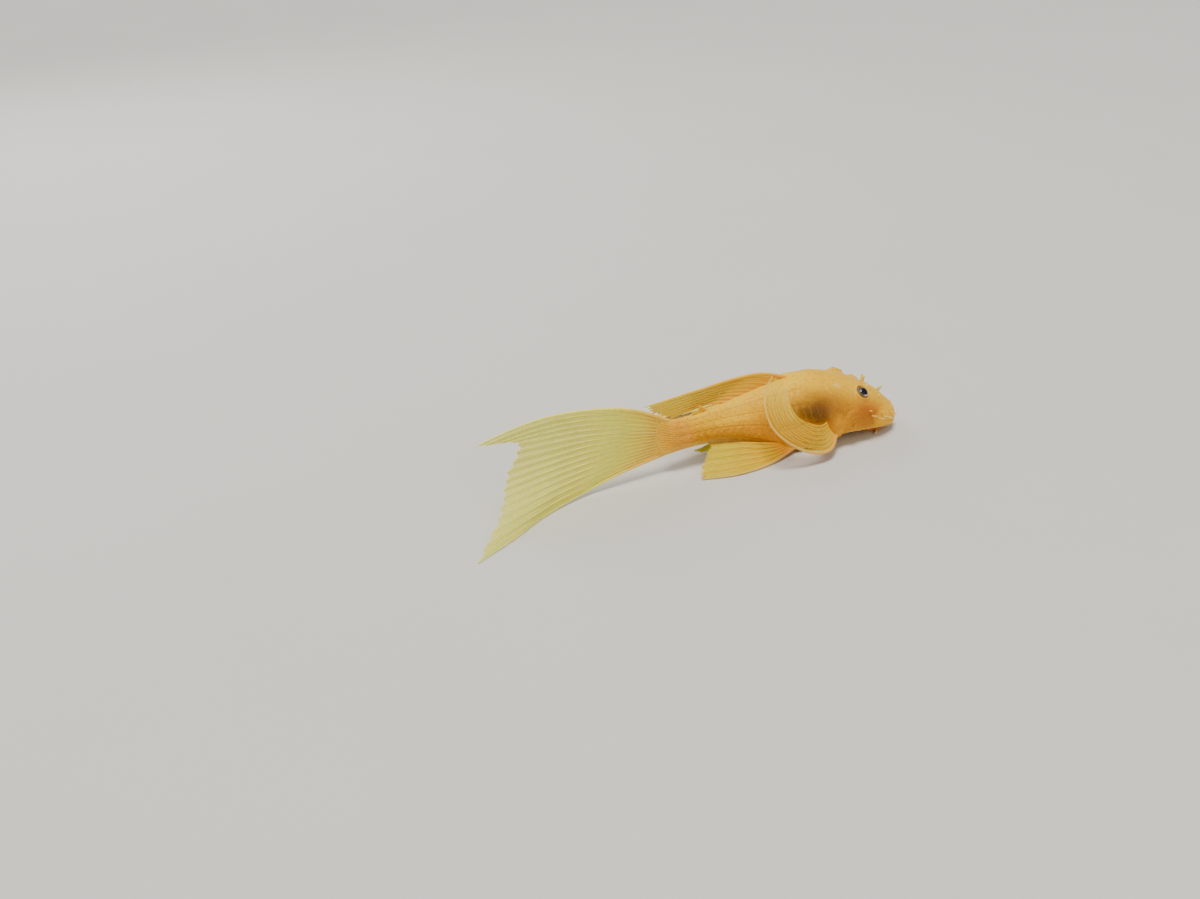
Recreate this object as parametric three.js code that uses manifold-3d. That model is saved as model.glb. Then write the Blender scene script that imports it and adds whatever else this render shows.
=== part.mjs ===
// Bristlenose pleco (Ancistrus), long-finned golden form, life size, as a still model.
// Millimetres. +X is ahead of the snout, +Y is the fish's left, +Z is up.
// The origin is the flat of the belly on which the fish rests, and the floor is z = 0.

import * as THREE from 'three';
import { mergeVertices } from 'three/addons/utils/BufferGeometryUtils.js';
import Module from 'manifold-3d';

const wasm = await Module();
wasm.setup();

// Driving dimensions of the fish. Stations are distances behind the snout.
const STANDARD_LENGTH = 54;
const GAP = 0.3;
const DORSAL_ORIGIN = 24.5;
const DORSAL_END = 38.5;
const STALK_START = 42;
const EYE_STATION = 11.2;
const EYE_OFFSET = 5.8;
const EYE_RADIUS = 1.6;
const EYE_SUNK = 0.8;
const REST_STATION = 23;
const LIFT = 2.4;
const ROOT_SUNK = 0.5;

// Bend of the body, in degrees: the head points down and a little to the right,
// and the tail swings a little to the right behind the trunk.
const HEAD_DOWN = 8;
const HEAD_RIGHT = 7;
const TAIL_UP = 3;
const TAIL_RIGHT = 4.5;
const AXIS_HEIGHT = 4;

// Half thickness of a fin at a ray, between two rays, at its root and at its tips.
const RAY_HALF = 0.46;
const MEMBRANE_HALF = 0.25;
const TIP_HALF = 0.2;

// Bony plates: each overlaps the one behind it with its raised rear edge.
const PLATE_RISE = 0.24;
const TRUNK_PLATES = 16;
const STALK_PLATES = 8;
const PLATE_ROW_EDGES = [84, 60, 36, 10, -16, -40];
const PLATE_STAGGER = 0.42;
const PLATE_EDGE_CURVE = 0.3;

// How far the raised rear edge of a plate stands along its pitch.
const PLATE_EDGE_AT = 0.88;

// Head: nostrils, the groove behind the soft margin of the snout, and the rods that stand on it.
const NOSTRIL_STATION = 8.2;
const NOSTRIL_TURN = 19;
const NOSTRIL_RADIUS = 0.42;
const LIP_BAND = 2.3;
const LIP_HEIGHT = 1.9;
const LIP_GROOVE = 0.16;
const TENTACLE_RADIUS = 0.34;
const TENTACLES_A_SIDE = 6;
const ROD_SUNK = 0.55;
const CHEEK_SPINES = 5;
const SPINE_STATION = 13.6;
const SPINE_LENGTH = 1.1;
const SPINE_RADIUS = 0.2;

// Sucker mouth: its disc, the opening in its middle, and its barbels.
const DISC_STATION = 5.4;
const DISC_HALF_LENGTH = 4.1;
const DISC_HALF_WIDTH = 5.0;
const MOUTH_HALF_LENGTH = 1.0;
const MOUTH_HALF_WIDTH = 2.3;
const MOUTH_DEPTH = 0.62;
const BARBEL_LENGTH = 2.0;
const BARBEL_RADIUS = 0.32;
const BARBEL_HEIGHT = 0.36;

// Profile of the body: station, half width, height of the back, height of the belly.
const PROFILE = [
  [0, 0.3, 3.0, 2.5],
  [0.4, 2.7, 4.1, 1.3],
  [1.3, 4.9, 5.1, 0.7],
  [3.0, 6.5, 6.3, 0.6],
  [6.0, 8.0, 8.0, 0.6],
  [11.3, 9.1, 9.8, 0.3],
  [16.5, 9.4, 10.9, -0.5],
  [20.5, 9.0, 11.3, -2.3],
  [24.5, 8.2, 11.5, -2.8],
  [31, 6.3, 10.6, -2.2],
  [38.5, 4.1, 9.1, 0.2],
  [45, 2.5, 8.1, 1.1],
  [50, 1.8, 7.6, 1.0],
  [54, 1.3, 7.8, 0.6],
];

const COLOURS = {
  skin: '#d9a441',
  snout: '#e6b93a',
  flank: '#dd9f38',
  fin: '#dcd07c',
  lip: '#e8c070',
  eye: '#15161c',
};

const wave = (from, to, at) => THREE.MathUtils.smoothstep(at, from, to);
const mix = THREE.MathUtils.lerp;
const radians = THREE.MathUtils.degToRad;
const at = (x, y, z) => new THREE.Vector3(x, y, z);

// Line of the body: a point and three directions at each half millimetre of station.
const STEP = 0.5;
const LINE_END = 62;

function bodyLine() {
  const line = [];
  for (let station = 0; station <= LINE_END; station += STEP) {
    const down = radians(HEAD_DOWN * (1 - wave(11, 25, station)) + TAIL_UP * wave(26, 48, station));
    const turn = radians(-HEAD_RIGHT * (1 - wave(13, 28, station)) + TAIL_RIGHT * wave(28, 50, station));
    const ahead = new THREE.Vector3(
      Math.cos(down) * Math.cos(turn), Math.cos(down) * Math.sin(turn), -Math.sin(down));
    const left = new THREE.Vector3(-Math.sin(turn), Math.cos(turn), 0);
    line.push({ ahead, left, up: ahead.clone().cross(left), at: new THREE.Vector3() });
  }
  const rest = REST_STATION / STEP;
  line[rest].at.set(0, 0, LIFT + AXIS_HEIGHT);
  for (let i = rest + 1; i < line.length; i += 1) {
    const back = line[i].ahead.clone().add(line[i - 1].ahead).multiplyScalar(-STEP / 2);
    line[i].at.addVectors(line[i - 1].at, back);
  }
  for (let i = rest - 1; i >= 0; i -= 1) {
    const forward = line[i].ahead.clone().add(line[i + 1].ahead).multiplyScalar(STEP / 2);
    line[i].at.addVectors(line[i + 1].at, forward);
  }
  return line;
}

const LINE = bodyLine();

// A point given by its station, its offset to the left and its height above the belly line.
function onBody(station, offset, height) {
  const place = THREE.MathUtils.clamp(station / STEP, 0, LINE.length - 1.001);
  const low = LINE[Math.floor(place)];
  const high = LINE[Math.floor(place) + 1];
  const share = place - Math.floor(place);
  const point = low.at.clone().lerp(high.at, share);
  point.addScaledVector(low.left.clone().lerp(high.left, share), offset);
  point.addScaledVector(low.up.clone().lerp(high.up, share), height - AXIS_HEIGHT);
  return point.addScaledVector(low.ahead, place * STEP > LINE_END - 1 ? LINE_END - 1 - station : 0);
}

// Smooth value of one column of the profile at a station.
function profileAt(station, column) {
  const last = PROFILE.length - 1;
  let k = 0;
  while (k < last - 1 && station > PROFILE[k + 1][0]) {
    k += 1;
  }
  const slope = (a, b) => (PROFILE[b][column] - PROFILE[a][column]) / (PROFILE[b][0] - PROFILE[a][0]);
  const span = PROFILE[k + 1][0] - PROFILE[k][0];
  const t = THREE.MathUtils.clamp((station - PROFILE[k][0]) / span, 0, 1);
  const start = slope(Math.max(k - 1, 0), k + 1) * span;
  const end = slope(k, Math.min(k + 2, last)) * span;
  const rise = PROFILE[k + 1][column] - PROFILE[k][column];
  const square = 3 * rise - 2 * start - end;
  const cube = start + end - 2 * rise;
  return PROFILE[k][column] + start * t + square * t ** 2 + cube * t ** 3;
}

// Outline of the body at a station: turn is 0 at the left flank and a quarter turn at the back.
function section(station, turn) {
  const half = profileAt(station, 1);
  const top = profileAt(station, 2);
  const bottom = profileAt(station, 3);
  const widest = mix(bottom, top, mix(0.34, 0.46, wave(18, 46, station)));
  const side = Math.cos(turn);
  const rise = Math.sin(turn);
  const flat = mix(0.5, 0.8, wave(28, 46, station));
  const round = rise > 0 ? mix(0.92, 1.0, wave(8, 28, station)) : flat;
  const offset = half * Math.sign(side) * Math.abs(side) ** round;
  const height = rise > 0
    ? widest + (top - widest) * rise ** round
    : widest - (widest - bottom) * (-rise) ** flat;
  return { offset, height };
}

// A raised rim round each eye.
function orbitRim(station, offset) {
  const away = Math.hypot(station - EYE_STATION, Math.abs(offset) - EYE_OFFSET);
  return 0.4 * Math.exp(-((away / 2.3) ** 2));
}

// A shallow groove between the soft margin of the snout and the bony head.
function lipGroove(station, height) {
  const ahead = station / LIP_BAND;
  const above = (height - profileAt(station, 3)) / LIP_HEIGHT;
  const near = Math.min(ahead, above);
  return LIP_GROOVE * Math.exp(-(((near - 1) / 0.22) ** 2)) * (1 - wave(8, 10, station));
}

function skin(station, turn, out = 0) {
  const { offset, height } = section(station, turn);
  const point = onBody(station, offset, height);
  const rim = height > AXIS_HEIGHT ? orbitRim(station, offset) : 0;
  const lift = out + rim - lipGroove(station, height);
  if (lift !== 0) {
    const round = section(station, turn + 0.02);
    const along = onBody(station, round.offset, round.height).sub(point);
    const next = section(station + 0.2, turn);
    const back = onBody(station + 0.2, next.offset, next.height).sub(point);
    point.addScaledVector(along.cross(back).normalize(), -lift);
  }
  point.z = Math.max(point.z, 0);
  return point;
}

// Closed mesh from rings of points, with a fan at each end.
function loft(rings, firstTip, lastTip) {
  const around = rings[0].length;
  const points = rings.flat();
  const triangles = [];
  for (let k = 0; k < rings.length - 1; k += 1) {
    for (let j = 0; j < around; j += 1) {
      const next = (j + 1) % around;
      const [a, b] = [k * around + j, k * around + next];
      const [c, d] = [a + around, b + around];
      triangles.push(a, c, b, b, c, d);
    }
  }
  const lastRing = (rings.length - 1) * around;
  points.push(firstTip, lastTip);
  for (let j = 0; j < around; j += 1) {
    const next = (j + 1) % around;
    triangles.push(points.length - 2, j, next);
    triangles.push(points.length - 1, lastRing + next, lastRing + j);
  }
  return meshOf(points, triangles);
}

function meshOf(points, triangles) {
  const geometry = new THREE.BufferGeometry();
  const numbers = points.flatMap((point) => [point.x, point.y, point.z]);
  geometry.setAttribute('position', new THREE.Float32BufferAttribute(numbers, 3));
  geometry.setIndex(triangles);
  return geometry;
}

function solid(geometry) {
  const bare = geometry.clone();
  bare.deleteAttribute('normal');
  bare.deleteAttribute('uv');
  const merged = mergeVertices(bare, 1e-5);
  return new wasm.Manifold(new wasm.Mesh({
    numProp: 3,
    vertProperties: new Float32Array(merged.attributes.position.array),
    triVerts: new Uint32Array(merged.index.array),
  }));
}

// The largest closed surface of a solid, as a geometry.
function largest(shape) {
  const pieces = shape.decompose();
  pieces.sort((a, b) => b.volume() - a.volume());
  const { vertProperties, triVerts, numProp } = pieces[0].getMesh();
  const points = [];
  for (let i = 0; i < vertProperties.length; i += numProp) {
    points.push(new THREE.Vector3(vertProperties[i], vertProperties[i + 1], vertProperties[i + 2]));
  }
  return meshOf(points, Array.from(triVerts));
}

// Turns of the mesh's columns: three to a row of plates, on both flanks, and the belly's between.
const BELLY_COLUMNS = 8;

function columnTurns() {
  const edges = PLATE_ROW_EDGES;
  const left = [];
  for (let row = 0; row < edges.length - 1; row += 1) {
    for (let third = 0; third < 3; third += 1) {
      left.push(mix(edges[row], edges[row + 1], third / 3));
    }
  }
  left.push(edges[edges.length - 1]);
  const right = left.map((turn) => 180 - turn);
  const belly = Array.from({ length: BELLY_COLUMNS }, (_, j) => (
    mix(220, 320, (j + 1) / (BELLY_COLUMNS + 1))));
  return [...left.reverse(), 90, ...right, ...belly].map(radians);
}

const TURNS = columnTurns();

// Where a turn lies in its row of plates: the row's number, or -1, and 0 to 1 across it.
function plateRow(turn) {
  const degrees = THREE.MathUtils.radToDeg(turn);
  const mirrored = degrees > 90 ? 180 - degrees : degrees;
  for (let row = 0; row < PLATE_ROW_EDGES.length - 1; row += 1) {
    const [top, bottom] = [PLATE_ROW_EDGES[row], PLATE_ROW_EDGES[row + 1]];
    if (mirrored <= top && mirrored >= bottom) {
      return { row, across: (top - mirrored) / (top - bottom) };
    }
  }
  return { row: -1, across: 0 };
}

// Height of a plate's rear edge over the skin, and how far that edge reaches back.
function plateRise(station, turn) {
  const { row, across } = plateRow(turn);
  const here = wave(18.5, 21, station) * (1 - wave(52.5, 54, station));
  return row < 0 ? 0 : PLATE_RISE * here * Math.min(1, 4 * across * (1 - across) * 1.13);
}

function plateReach(turn) {
  const { row, across } = plateRow(turn);
  const bow = 4 * across * (1 - across);
  return row < 0 ? 0 : bow * (PLATE_EDGE_CURVE + (row % 2) * PLATE_STAGGER);
}

// The head ends at the gill opening, and its bony shield reaches further back on top.
const GILL_SIDE = 17;

function gillLine(turn) {
  const rise = Math.sin(turn);
  return GILL_SIDE + (rise > 0 ? 3 * rise ** 2 : -1.5 * rise ** 2);
}

// A soft tapered rod from under the skin, which bends from its first direction to its second.
function rod(root, first, second, length, radius, sides = 6, steps = 3) {
  const rings = [];
  const middle = root.clone().addScaledVector(first, -ROD_SUNK);
  const start = middle.clone();
  const stride = (length + ROD_SUNK) / steps;
  for (let k = 0; k <= steps; k += 1) {
    const share = k / steps;
    const heading = first.clone().lerp(second, share).normalize();
    const across = at(heading.y, -heading.x, 0.3).cross(heading).normalize();
    const other = across.clone().cross(heading);
    const size = radius * (share < 1 ? 1 - 0.45 * share : 0.28);
    rings.push(Array.from({ length: sides }, (_, j) => {
      const angle = (j * 2 * Math.PI) / sides;
      const point = middle.clone().addScaledVector(across, size * Math.cos(angle));
      return point.addScaledVector(other, size * Math.sin(angle));
    }));
    middle.addScaledVector(heading, k < steps ? stride : 0);
  }
  return solid(loft(rings, start, middle));
}

function outward(station, turn) {
  return skin(station, turn, 1).sub(skin(station, turn)).normalize();
}

// Repeatable random numbers from 0 to 1.
function seeded(seed) {
  let state = seed;
  return () => {
    state = (state * 16807) % 2147483647;
    return state / 2147483647;
  };
}

// A row of tentacles along the margin of the snout, longer towards its sides, and three on top.
function tentacles() {
  const random = seeded(41);
  const rods = [];
  for (const side of [-1, 1]) {
    for (let k = 0; k < TENTACLES_A_SIDE; k += 1) {
      const share = k / (TENTACLES_A_SIDE - 1);
      const station = mix(0.7, 9.3, share) + 0.3 * random();
      const turn = radians(side > 0 ? 2 + 8 * random() : 178 - 8 * random());
      const out = outward(station, turn);
      const bend = out.clone().add(at(0.2 - 0.5 * random(), 0, 0.5 * random() + 0.3)).normalize();
      const length = mix(0.7, 1.6, share) * (0.85 + 0.3 * random());
      rods.push(rod(skin(station, turn), out, bend, length, TENTACLE_RADIUS));
    }
  }
  const crown = [
    [6.1, 75, 1.5, at(-0.1, 0.5, 1)],
    [4.3, 97, 1.3, at(0.9, 0.3, 0.5)],
    [2.6, 60, 0.9, at(0.6, 0.6, 0.6)],
  ];
  for (const [station, degrees, length, lean] of crown) {
    const turn = radians(degrees);
    rods.push(rod(skin(station, turn), outward(station, turn), lean.normalize(), length, TENTACLE_RADIUS));
  }
  return rods;
}

// A small tuft of spines at the rear of each gill cover.
function cheekSpines() {
  const spines = [];
  for (const side of [-1, 1]) {
    for (let k = 0; k < CHEEK_SPINES; k += 1) {
      const degrees = mix(14, -10, k / (CHEEK_SPINES - 1));
      const turn = radians(side > 0 ? degrees : 180 - degrees);
      const station = SPINE_STATION + 0.5 * (k % 2);
      const out = outward(station, turn);
      const back = out.clone().add(at(-1.6, 0, 0)).normalize();
      spines.push(rod(skin(station, turn), out, back, SPINE_LENGTH, SPINE_RADIUS, 4, 2));
    }
  }
  return spines;
}

// A nostril is a pit with a raised collar and a soft flap over its rear.
function nostril(head, side) {
  const turn = radians(90 - side * NOSTRIL_TURN);
  const centre = skin(NOSTRIL_STATION, turn);
  const out = outward(NOSTRIL_STATION, turn);
  const collar = new THREE.SphereGeometry(NOSTRIL_RADIUS * 1.9, 14, 8);
  const pit = new THREE.SphereGeometry(NOSTRIL_RADIUS, 12, 8);
  collar.scale(1.2, 1, 0.55);
  pit.scale(1.4, 1, 2.2);
  collar.translate(centre.x, centre.y, centre.z);
  pit.translate(centre.x + out.x * 0.5, centre.y + out.y * 0.5, centre.z + out.z * 0.5);
  const behind = skin(NOSTRIL_STATION + 0.75, turn);
  const flap = rod(behind, out, out.clone().add(at(0.9, 0, 0)).normalize(), 0.85, 0.34, 6);
  return head.add(solid(collar)).subtract(solid(pit)).add(flap);
}

function headGeometry() {
  const rings = [];
  const count = 24;
  for (let k = 0; k <= count; k += 1) {
    const share = (k / count) ** 1.7;
    rings.push(TURNS.map((turn) => {
      const station = share * (GILL_SIDE + (gillLine(turn) - GILL_SIDE) * share ** 2);
      return skin(station, turn);
    }));
  }
  let head = solid(loft(rings, onBody(0, 0, 2.9), onBody(GILL_SIDE, 0, 4.5)));
  for (const part of [...tentacles(), ...cheekSpines()]) {
    head = head.add(part);
  }
  for (const side of [-1, 1]) {
    head = nostril(head, side);
    const socket = new THREE.SphereGeometry(EYE_RADIUS + GAP, 18, 12);
    const centre = eyeCentre(side);
    socket.translate(centre.x, centre.y, centre.z);
    head = head.subtract(solid(socket));
  }
  return largest(head);
}

function eyeTurn(side) {
  const half = profileAt(EYE_STATION, 1);
  const up = Math.acos(EYE_OFFSET / half);
  return side > 0 ? up : Math.PI - up;
}

function eyeCentre(side) {
  return skin(EYE_STATION, eyeTurn(side), -EYE_SUNK);
}

// Two rings to a plate: its low front edge, and its raised rear edge just ahead of the next.
function platedGeometry(startOf, end, count, axisHeight) {
  const rings = [];
  const pitch = (turn) => (end - startOf(turn)) / count;
  const ring = (plate, lifted) => TURNS.map((turn) => {
    const fade = Math.min(1, plate, count - plate);
    const station = startOf(turn) + (plate + plateReach(turn) * Math.max(fade, 0)) * pitch(turn);
    return skin(station, turn, lifted ? plateRise(station, turn) : 0);
  });
  for (let plate = 0; plate < count; plate += 1) {
    rings.push(ring(plate, false), ring(plate + (plate < count - 1 ? PLATE_EDGE_AT : 1), true));
  }
  return loft(rings, onBody(startOf(0), 0, axisHeight), onBody(end, 0, axisHeight));
}

const trunkGeometry = () => platedGeometry((turn) => gillLine(turn) + GAP, STALK_START, TRUNK_PLATES, 4.5);
const stalkGeometry = () => platedGeometry(() => STALK_START + GAP, STANDARD_LENGTH, STALK_PLATES, 4.4);

// The sucker mouth: a fleshy disc between the underside of the head and the floor.
function discGeometry() {
  const around = 36;
  const turnOf = (j) => (j * 2 * Math.PI) / around;
  const under = (halfLength, halfWidth, turn) => {
    const station = DISC_STATION - halfLength * Math.cos(turn);
    return onBody(station, halfWidth * Math.sin(turn), profileAt(station, 3) - GAP);
  };
  const ring = (share, height) => Array.from({ length: around }, (_, j) => {
    const ripple = share > 0.9 ? 1 + 0.018 * Math.cos(9 * turnOf(j)) : 1;
    const point = under(DISC_HALF_LENGTH * share * ripple, DISC_HALF_WIDTH * share * ripple, turnOf(j));
    point.z = height === null ? point.z : height;
    return point;
  });
  const mouth = (share, depth) => Array.from({ length: around }, (_, j) => {
    const point = under(MOUTH_HALF_LENGTH * share, MOUTH_HALF_WIDTH * share, turnOf(j));
    point.z *= depth;
    return point;
  });
  const rings = [
    ...[0.3, 0.6, 0.9].map((share) => ring(share * 0.96, null)),
    ring(0.97, 0.5),
    ring(1, 0.25),
    ...[0.95, 0.8].map((share) => ring(share, 0)),
    ring(0.66, 0.12),
    ring(0.58, 0),
    mouth(1.15, 0),
    mouth(1, 0.2),
    mouth(0.8, 0.9 * MOUTH_DEPTH),
    mouth(0.4, MOUTH_DEPTH),
  ];
  const low = under(0, 0, 0);
  low.z *= MOUTH_DEPTH;
  let disc = solid(loft(rings, under(0, 0, 0), low));
  for (const side of [-1, 1]) {
    const corner = under(0.3, side * DISC_HALF_WIDTH, Math.PI / 2);
    corner.z = BARBEL_HEIGHT;
    const out = at(-0.3, side, 0).normalize();
    disc = disc.add(rod(corner, out, at(-1.6, side, 0).normalize(), BARBEL_LENGTH, BARBEL_RADIUS));
  }
  return largest(disc);
}

// A fin is a sheet through a few guide rays. Each ray stands out as a ridge on both faces.
// span is the part of the fin that is made, and inset moves its two side edges inwards.
function finGeometry(settings) {
  const { guides, rays, steps = 9, rootHalf = 0.5, scallop = 0.97 } = settings;
  const { span = [0, 1], inset = [0, 0] } = settings;
  const curves = guides.map((points) => new THREE.CatmullRomCurve3(points, false, 'centripetal'));
  const columns = 2 * rays - 1;
  const sheet = (across, along) => {
    const row = curves.map((curve) => curve.getPointAt(THREE.MathUtils.clamp(along, 0, 1)));
    const chord = new THREE.CatmullRomCurve3(row, false, 'catmullrom', 0.5);
    return chord.getPoint(THREE.MathUtils.clamp(across, 0, 1));
  };
  const front = [];
  const rear = [];
  for (let j = 0; j < columns; j += 1) {
    const across = mix(span[0], span[1], j / (columns - 1));
    const crest = j % 2 === 0;
    for (let k = 0; k <= steps; k += 1) {
      const along = (k / steps) * (crest ? 1 : scallop);
      const point = sheet(across, along);
      const sideways = sheet(across + 0.01, along).sub(sheet(across - 0.01, along));
      const onward = sheet(across, along + 0.01).sub(sheet(across, along - 0.01));
      if (j === 0 || j === columns - 1) {
        const inward = sideways.clone().setLength(j === 0 ? inset[0] : -inset[1]);
        point.add(inward);
      }
      const normal = sideways.cross(onward).normalize();
      const full = mix(rootHalf, crest ? RAY_HALF : MEMBRANE_HALF, wave(0, 0.15, along));
      const half = mix(full, TIP_HALF, wave(0.8, 1, along));
      front.push(point.clone().addScaledVector(normal, half));
      rear.push(point.clone().addScaledVector(normal, -half));
    }
  }
  [...front, ...rear].forEach((point) => {
    point.z = Math.max(point.z, 0);
  });
  const rowLength = steps + 1;
  const back = front.length;
  const triangles = [];
  const wall = (a, b, c, d) => triangles.push(a, b, c, a, c, d);
  for (let j = 0; j < columns - 1; j += 1) {
    for (let k = 0; k < steps; k += 1) {
      const a = j * rowLength + k;
      const b = a + rowLength;
      if (j % 2 === 0) {
        wall(a, b, b + 1, a + 1);
        wall(back + a, back + a + 1, back + b + 1, back + b);
      } else {
        wall(b, b + 1, a + 1, a);
        wall(back + b, back + a, back + a + 1, back + b + 1);
      }
    }
    const root = j * rowLength;
    const tip = root + steps;
    wall(root, back + root, back + root + rowLength, root + rowLength);
    wall(tip, tip + rowLength, back + tip + rowLength, back + tip);
  }
  const lastRow = (columns - 1) * rowLength;
  for (let k = 0; k < steps; k += 1) {
    wall(k, k + 1, back + k + 1, back + k);
    wall(lastRow + k, back + lastRow + k, back + lastRow + k + 1, lastRow + k + 1);
  }
  return meshOf([...front, ...rear], triangles);
}

const backTop = (station) => onBody(station, 0, profileAt(station, 2) - ROOT_SUNK);
const bellyLow = (station) => onBody(station, 0, profileAt(station, 3) + ROOT_SUNK);

// The body grown by the gap. Each fin starts inside it and is cut back to its face.
function clearance() {
  const rings = [];
  const count = 56;
  for (let k = 0; k <= count; k += 1) {
    rings.push(TURNS.map((turn) => {
      const station = mix(0, STANDARD_LENGTH + GAP, k / count);
      return skin(station, turn, GAP + plateRise(station, turn));
    }));
  }
  return solid(loft(rings, onBody(-GAP, 0, 2.9), onBody(STANDARD_LENGTH + GAP, 0, 4.2)));
}

const CLEARANCE = clearance();

// The dorsal fin is folded back and leans to the far side of the spine of the tail.
function dorsalGuides() {
  const middle = mix(DORSAL_ORIGIN, DORSAL_END, 0.5);
  return [
    [
      backTop(DORSAL_ORIGIN), onBody(31.4, 0.2, 13.3), onBody(38, 0.7, 13.3),
      onBody(45, 1.6, 12.2), onBody(58, 3.4, 10.0),
    ],
    [backTop(middle), onBody(38, 0.6, 11.2), onBody(45, 1.7, 10.2), onBody(55.6, 3.2, 8.2)],
    [backTop(DORSAL_END), onBody(42.5, 1.1, 8.9), onBody(47, 2.1, 7.9), onBody(51.8, 2.8, 6.6)],
  ];
}

function adiposeGuides() {
  return [
    [backTop(44.6), onBody(46.4, -0.1, 9.2), onBody(48.2, -0.3, 9.9)],
    [backTop(48), onBody(48.4, -0.1, 8.5), onBody(49, -0.3, 9.1)],
  ];
}

function analGuides() {
  return [
    [bellyLow(38.5), onBody(43, 0.3, -0.9), onBody(50, 0.7, -1.3)],
    [bellyLow(41.6), onBody(45.5, 0.3, -0.2), onBody(50.6, 0.7, -0.4)],
  ];
}

// The tail fin is lyre shaped. Its lower lobe is longer and lies on the floor to the right.
function caudalGuides() {
  const root = (share) => onBody(STANDARD_LENGTH - ROOT_SUNK, 0, mix(7.4, 1.0, share));
  return [
    [
      root(0), at(-38.5, -1.4, 15.0), at(-47.7, -1.9, 17.4), at(-58.5, -2.0, 18.1),
      at(-66.7, -2.0, 16.9), at(-72.4, -2.0, 15.4),
    ],
    [root(0.25), at(-47.5, -1.9, 13.4), at(-64.4, -2.5, 14.4)],
    [root(0.5), at(-47.5, -2.0, 9.4), at(-67.2, -3.8, 8.8)],
    [root(0.75), at(-48, -2.2, 5.2), at(-70.4, -7.6, 4.2)],
    [
      root(1), at(-41.5, -1.7, 2.7), at(-50, -2.6, 1.1), at(-60.5, -6.3, 0.3),
      at(-69.4, -11.7, 0.3), at(-78.6, -16.4, 0.2),
    ],
  ];
}

// The right pectoral fin curls up round the flank, and its tip reaches the back.
function pectoralRightGuides() {
  const root = (share) => skin(mix(17.2, 19.4, share), radians(mix(193, 172, share)), -ROOT_SUNK);
  return [
    [
      root(0), onBody(23, -13.2, -0.2), onBody(28.6, -13.6, 0.8), onBody(33.9, -12.9, 4.0),
      onBody(36.5, -11, 7.0), onBody(36.4, -8.2, 10.6), onBody(33.8, -5.2, 12.9),
      onBody(30.8, -3.0, 13.9),
    ],
    [
      root(0.5), onBody(25, -12.6, 2.4), onBody(30.5, -12, 5.2), onBody(32.4, -9.4, 9.0),
      onBody(29.6, -5.8, 12.2),
    ],
    [root(1), onBody(24.5, -11.0, 4.6), onBody(29, -10.4, 7.0), onBody(30.6, -8.6, 9.4)],
  ];
}

// The left pectoral fin is spread back over the floor.
function pectoralLeftGuides() {
  const root = (share) => skin(mix(17.2, 19.4, share), radians(mix(-13, 8, share)), -ROOT_SUNK);
  return [
    [root(0), at(0.5, 15.0, 1.4), at(-10, 20.2, 0.4), at(-21, 23.6, 0.2)],
    [root(0.5), at(-3, 13.8, 3.4), at(-12.5, 17.0, 3.0), at(-23.5, 19, 1.8)],
    [root(1), at(-3, 11.4, 5.2), at(-10, 12.4, 5.4), at(-17.5, 12.6, 4.4)],
  ];
}

function pelvicGuides(side, spread) {
  const turn = (share) => radians(side > 0 ? mix(-34, -22, share) : mix(214, 202, share));
  const root = (share) => skin(mix(26.6, 29.4, share), turn(share), -ROOT_SUNK);
  const out = (x, y, z) => at(x, side * (y + spread * wave(4, 27, -x)), z);
  return [
    [root(0), out(-12, 9.2, 0.4), out(-20, 9.9, 0.3), out(-27.6, 8.0, 0.2)],
    [root(0.5), out(-12.5, 7.4, 1.9), out(-19.5, 7.2, 2.3), out(-26.2, 6.2, 2.6)],
    [root(1), out(-12, 6.1, 3.6), out(-17, 5.2, 4.6), out(-23.6, 4.5, 5.4)],
  ];
}

const group = new THREE.Group();

function piece(name, geometry, colour, roughness) {
  const material = new THREE.MeshStandardMaterial({ color: colour, roughness, metalness: 0 });
  const mesh = new THREE.Mesh(geometry, material);
  mesh.name = name;
  group.add(mesh);
}

function finNode(name, settings) {
  piece(name, largest(solid(finGeometry(settings)).subtract(CLEARANCE)), COLOURS.fin, 0.4);
}

piece('head', headGeometry(), COLOURS.snout, 0.45);
piece('mouth_disc', discGeometry(), COLOURS.lip, 0.5);
piece('trunk', trunkGeometry(), COLOURS.skin, 0.42);
piece('tail_stalk', stalkGeometry(), COLOURS.flank, 0.42);

for (const [name, side] of [['eye_left', 1], ['eye_right', -1]]) {
  const ball = new THREE.SphereGeometry(EYE_RADIUS, 18, 12);
  const centre = eyeCentre(side);
  ball.translate(centre.x, centre.y, centre.z);
  piece(name, ball, COLOURS.eye, 0.12);
}

finNode('dorsal_fin', { guides: dorsalGuides(), rays: 8 });
finNode('adipose_fin', { guides: adiposeGuides(), rays: 2, steps: 4 });
finNode('anal_fin', { guides: analGuides(), rays: 5, steps: 6 });
const tailFin = { guides: caudalGuides(), rays: 8, steps: 12, rootHalf: 0.9, scallop: 0.985 };
const upperLobe = { ...tailFin, span: [0, 0.5], inset: [0, GAP / 2] };
const lowerLobe = { ...tailFin, span: [0.5, 1], inset: [GAP / 2, 0] };
finNode('caudal_fin_upper', upperLobe);
finNode('caudal_fin_lower', lowerLobe);
finNode('pectoral_fin_right', { guides: pectoralRightGuides(), rays: 7, steps: 14 });
finNode('pectoral_fin_left', { guides: pectoralLeftGuides(), rays: 7, steps: 10 });
finNode('pelvic_fin_right', { guides: pelvicGuides(-1, 0), rays: 6 });
finNode('pelvic_fin_left', { guides: pelvicGuides(1, 4), rays: 6 });

export default group;
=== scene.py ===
# %% [markdown]
# # A long-finned bristlenose pleco, life size
#
# The fish is built as a museum would show it: one continuous skin with bony plates, soft fins
# on bony rays, dark eyes, a nose with short tentacles and a sucker mouth underneath.
# The CAD model gives the frame. Every piece below repeats its named sizes, in millimetres,
# and becomes metres only when its mesh is made.

import math

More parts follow.
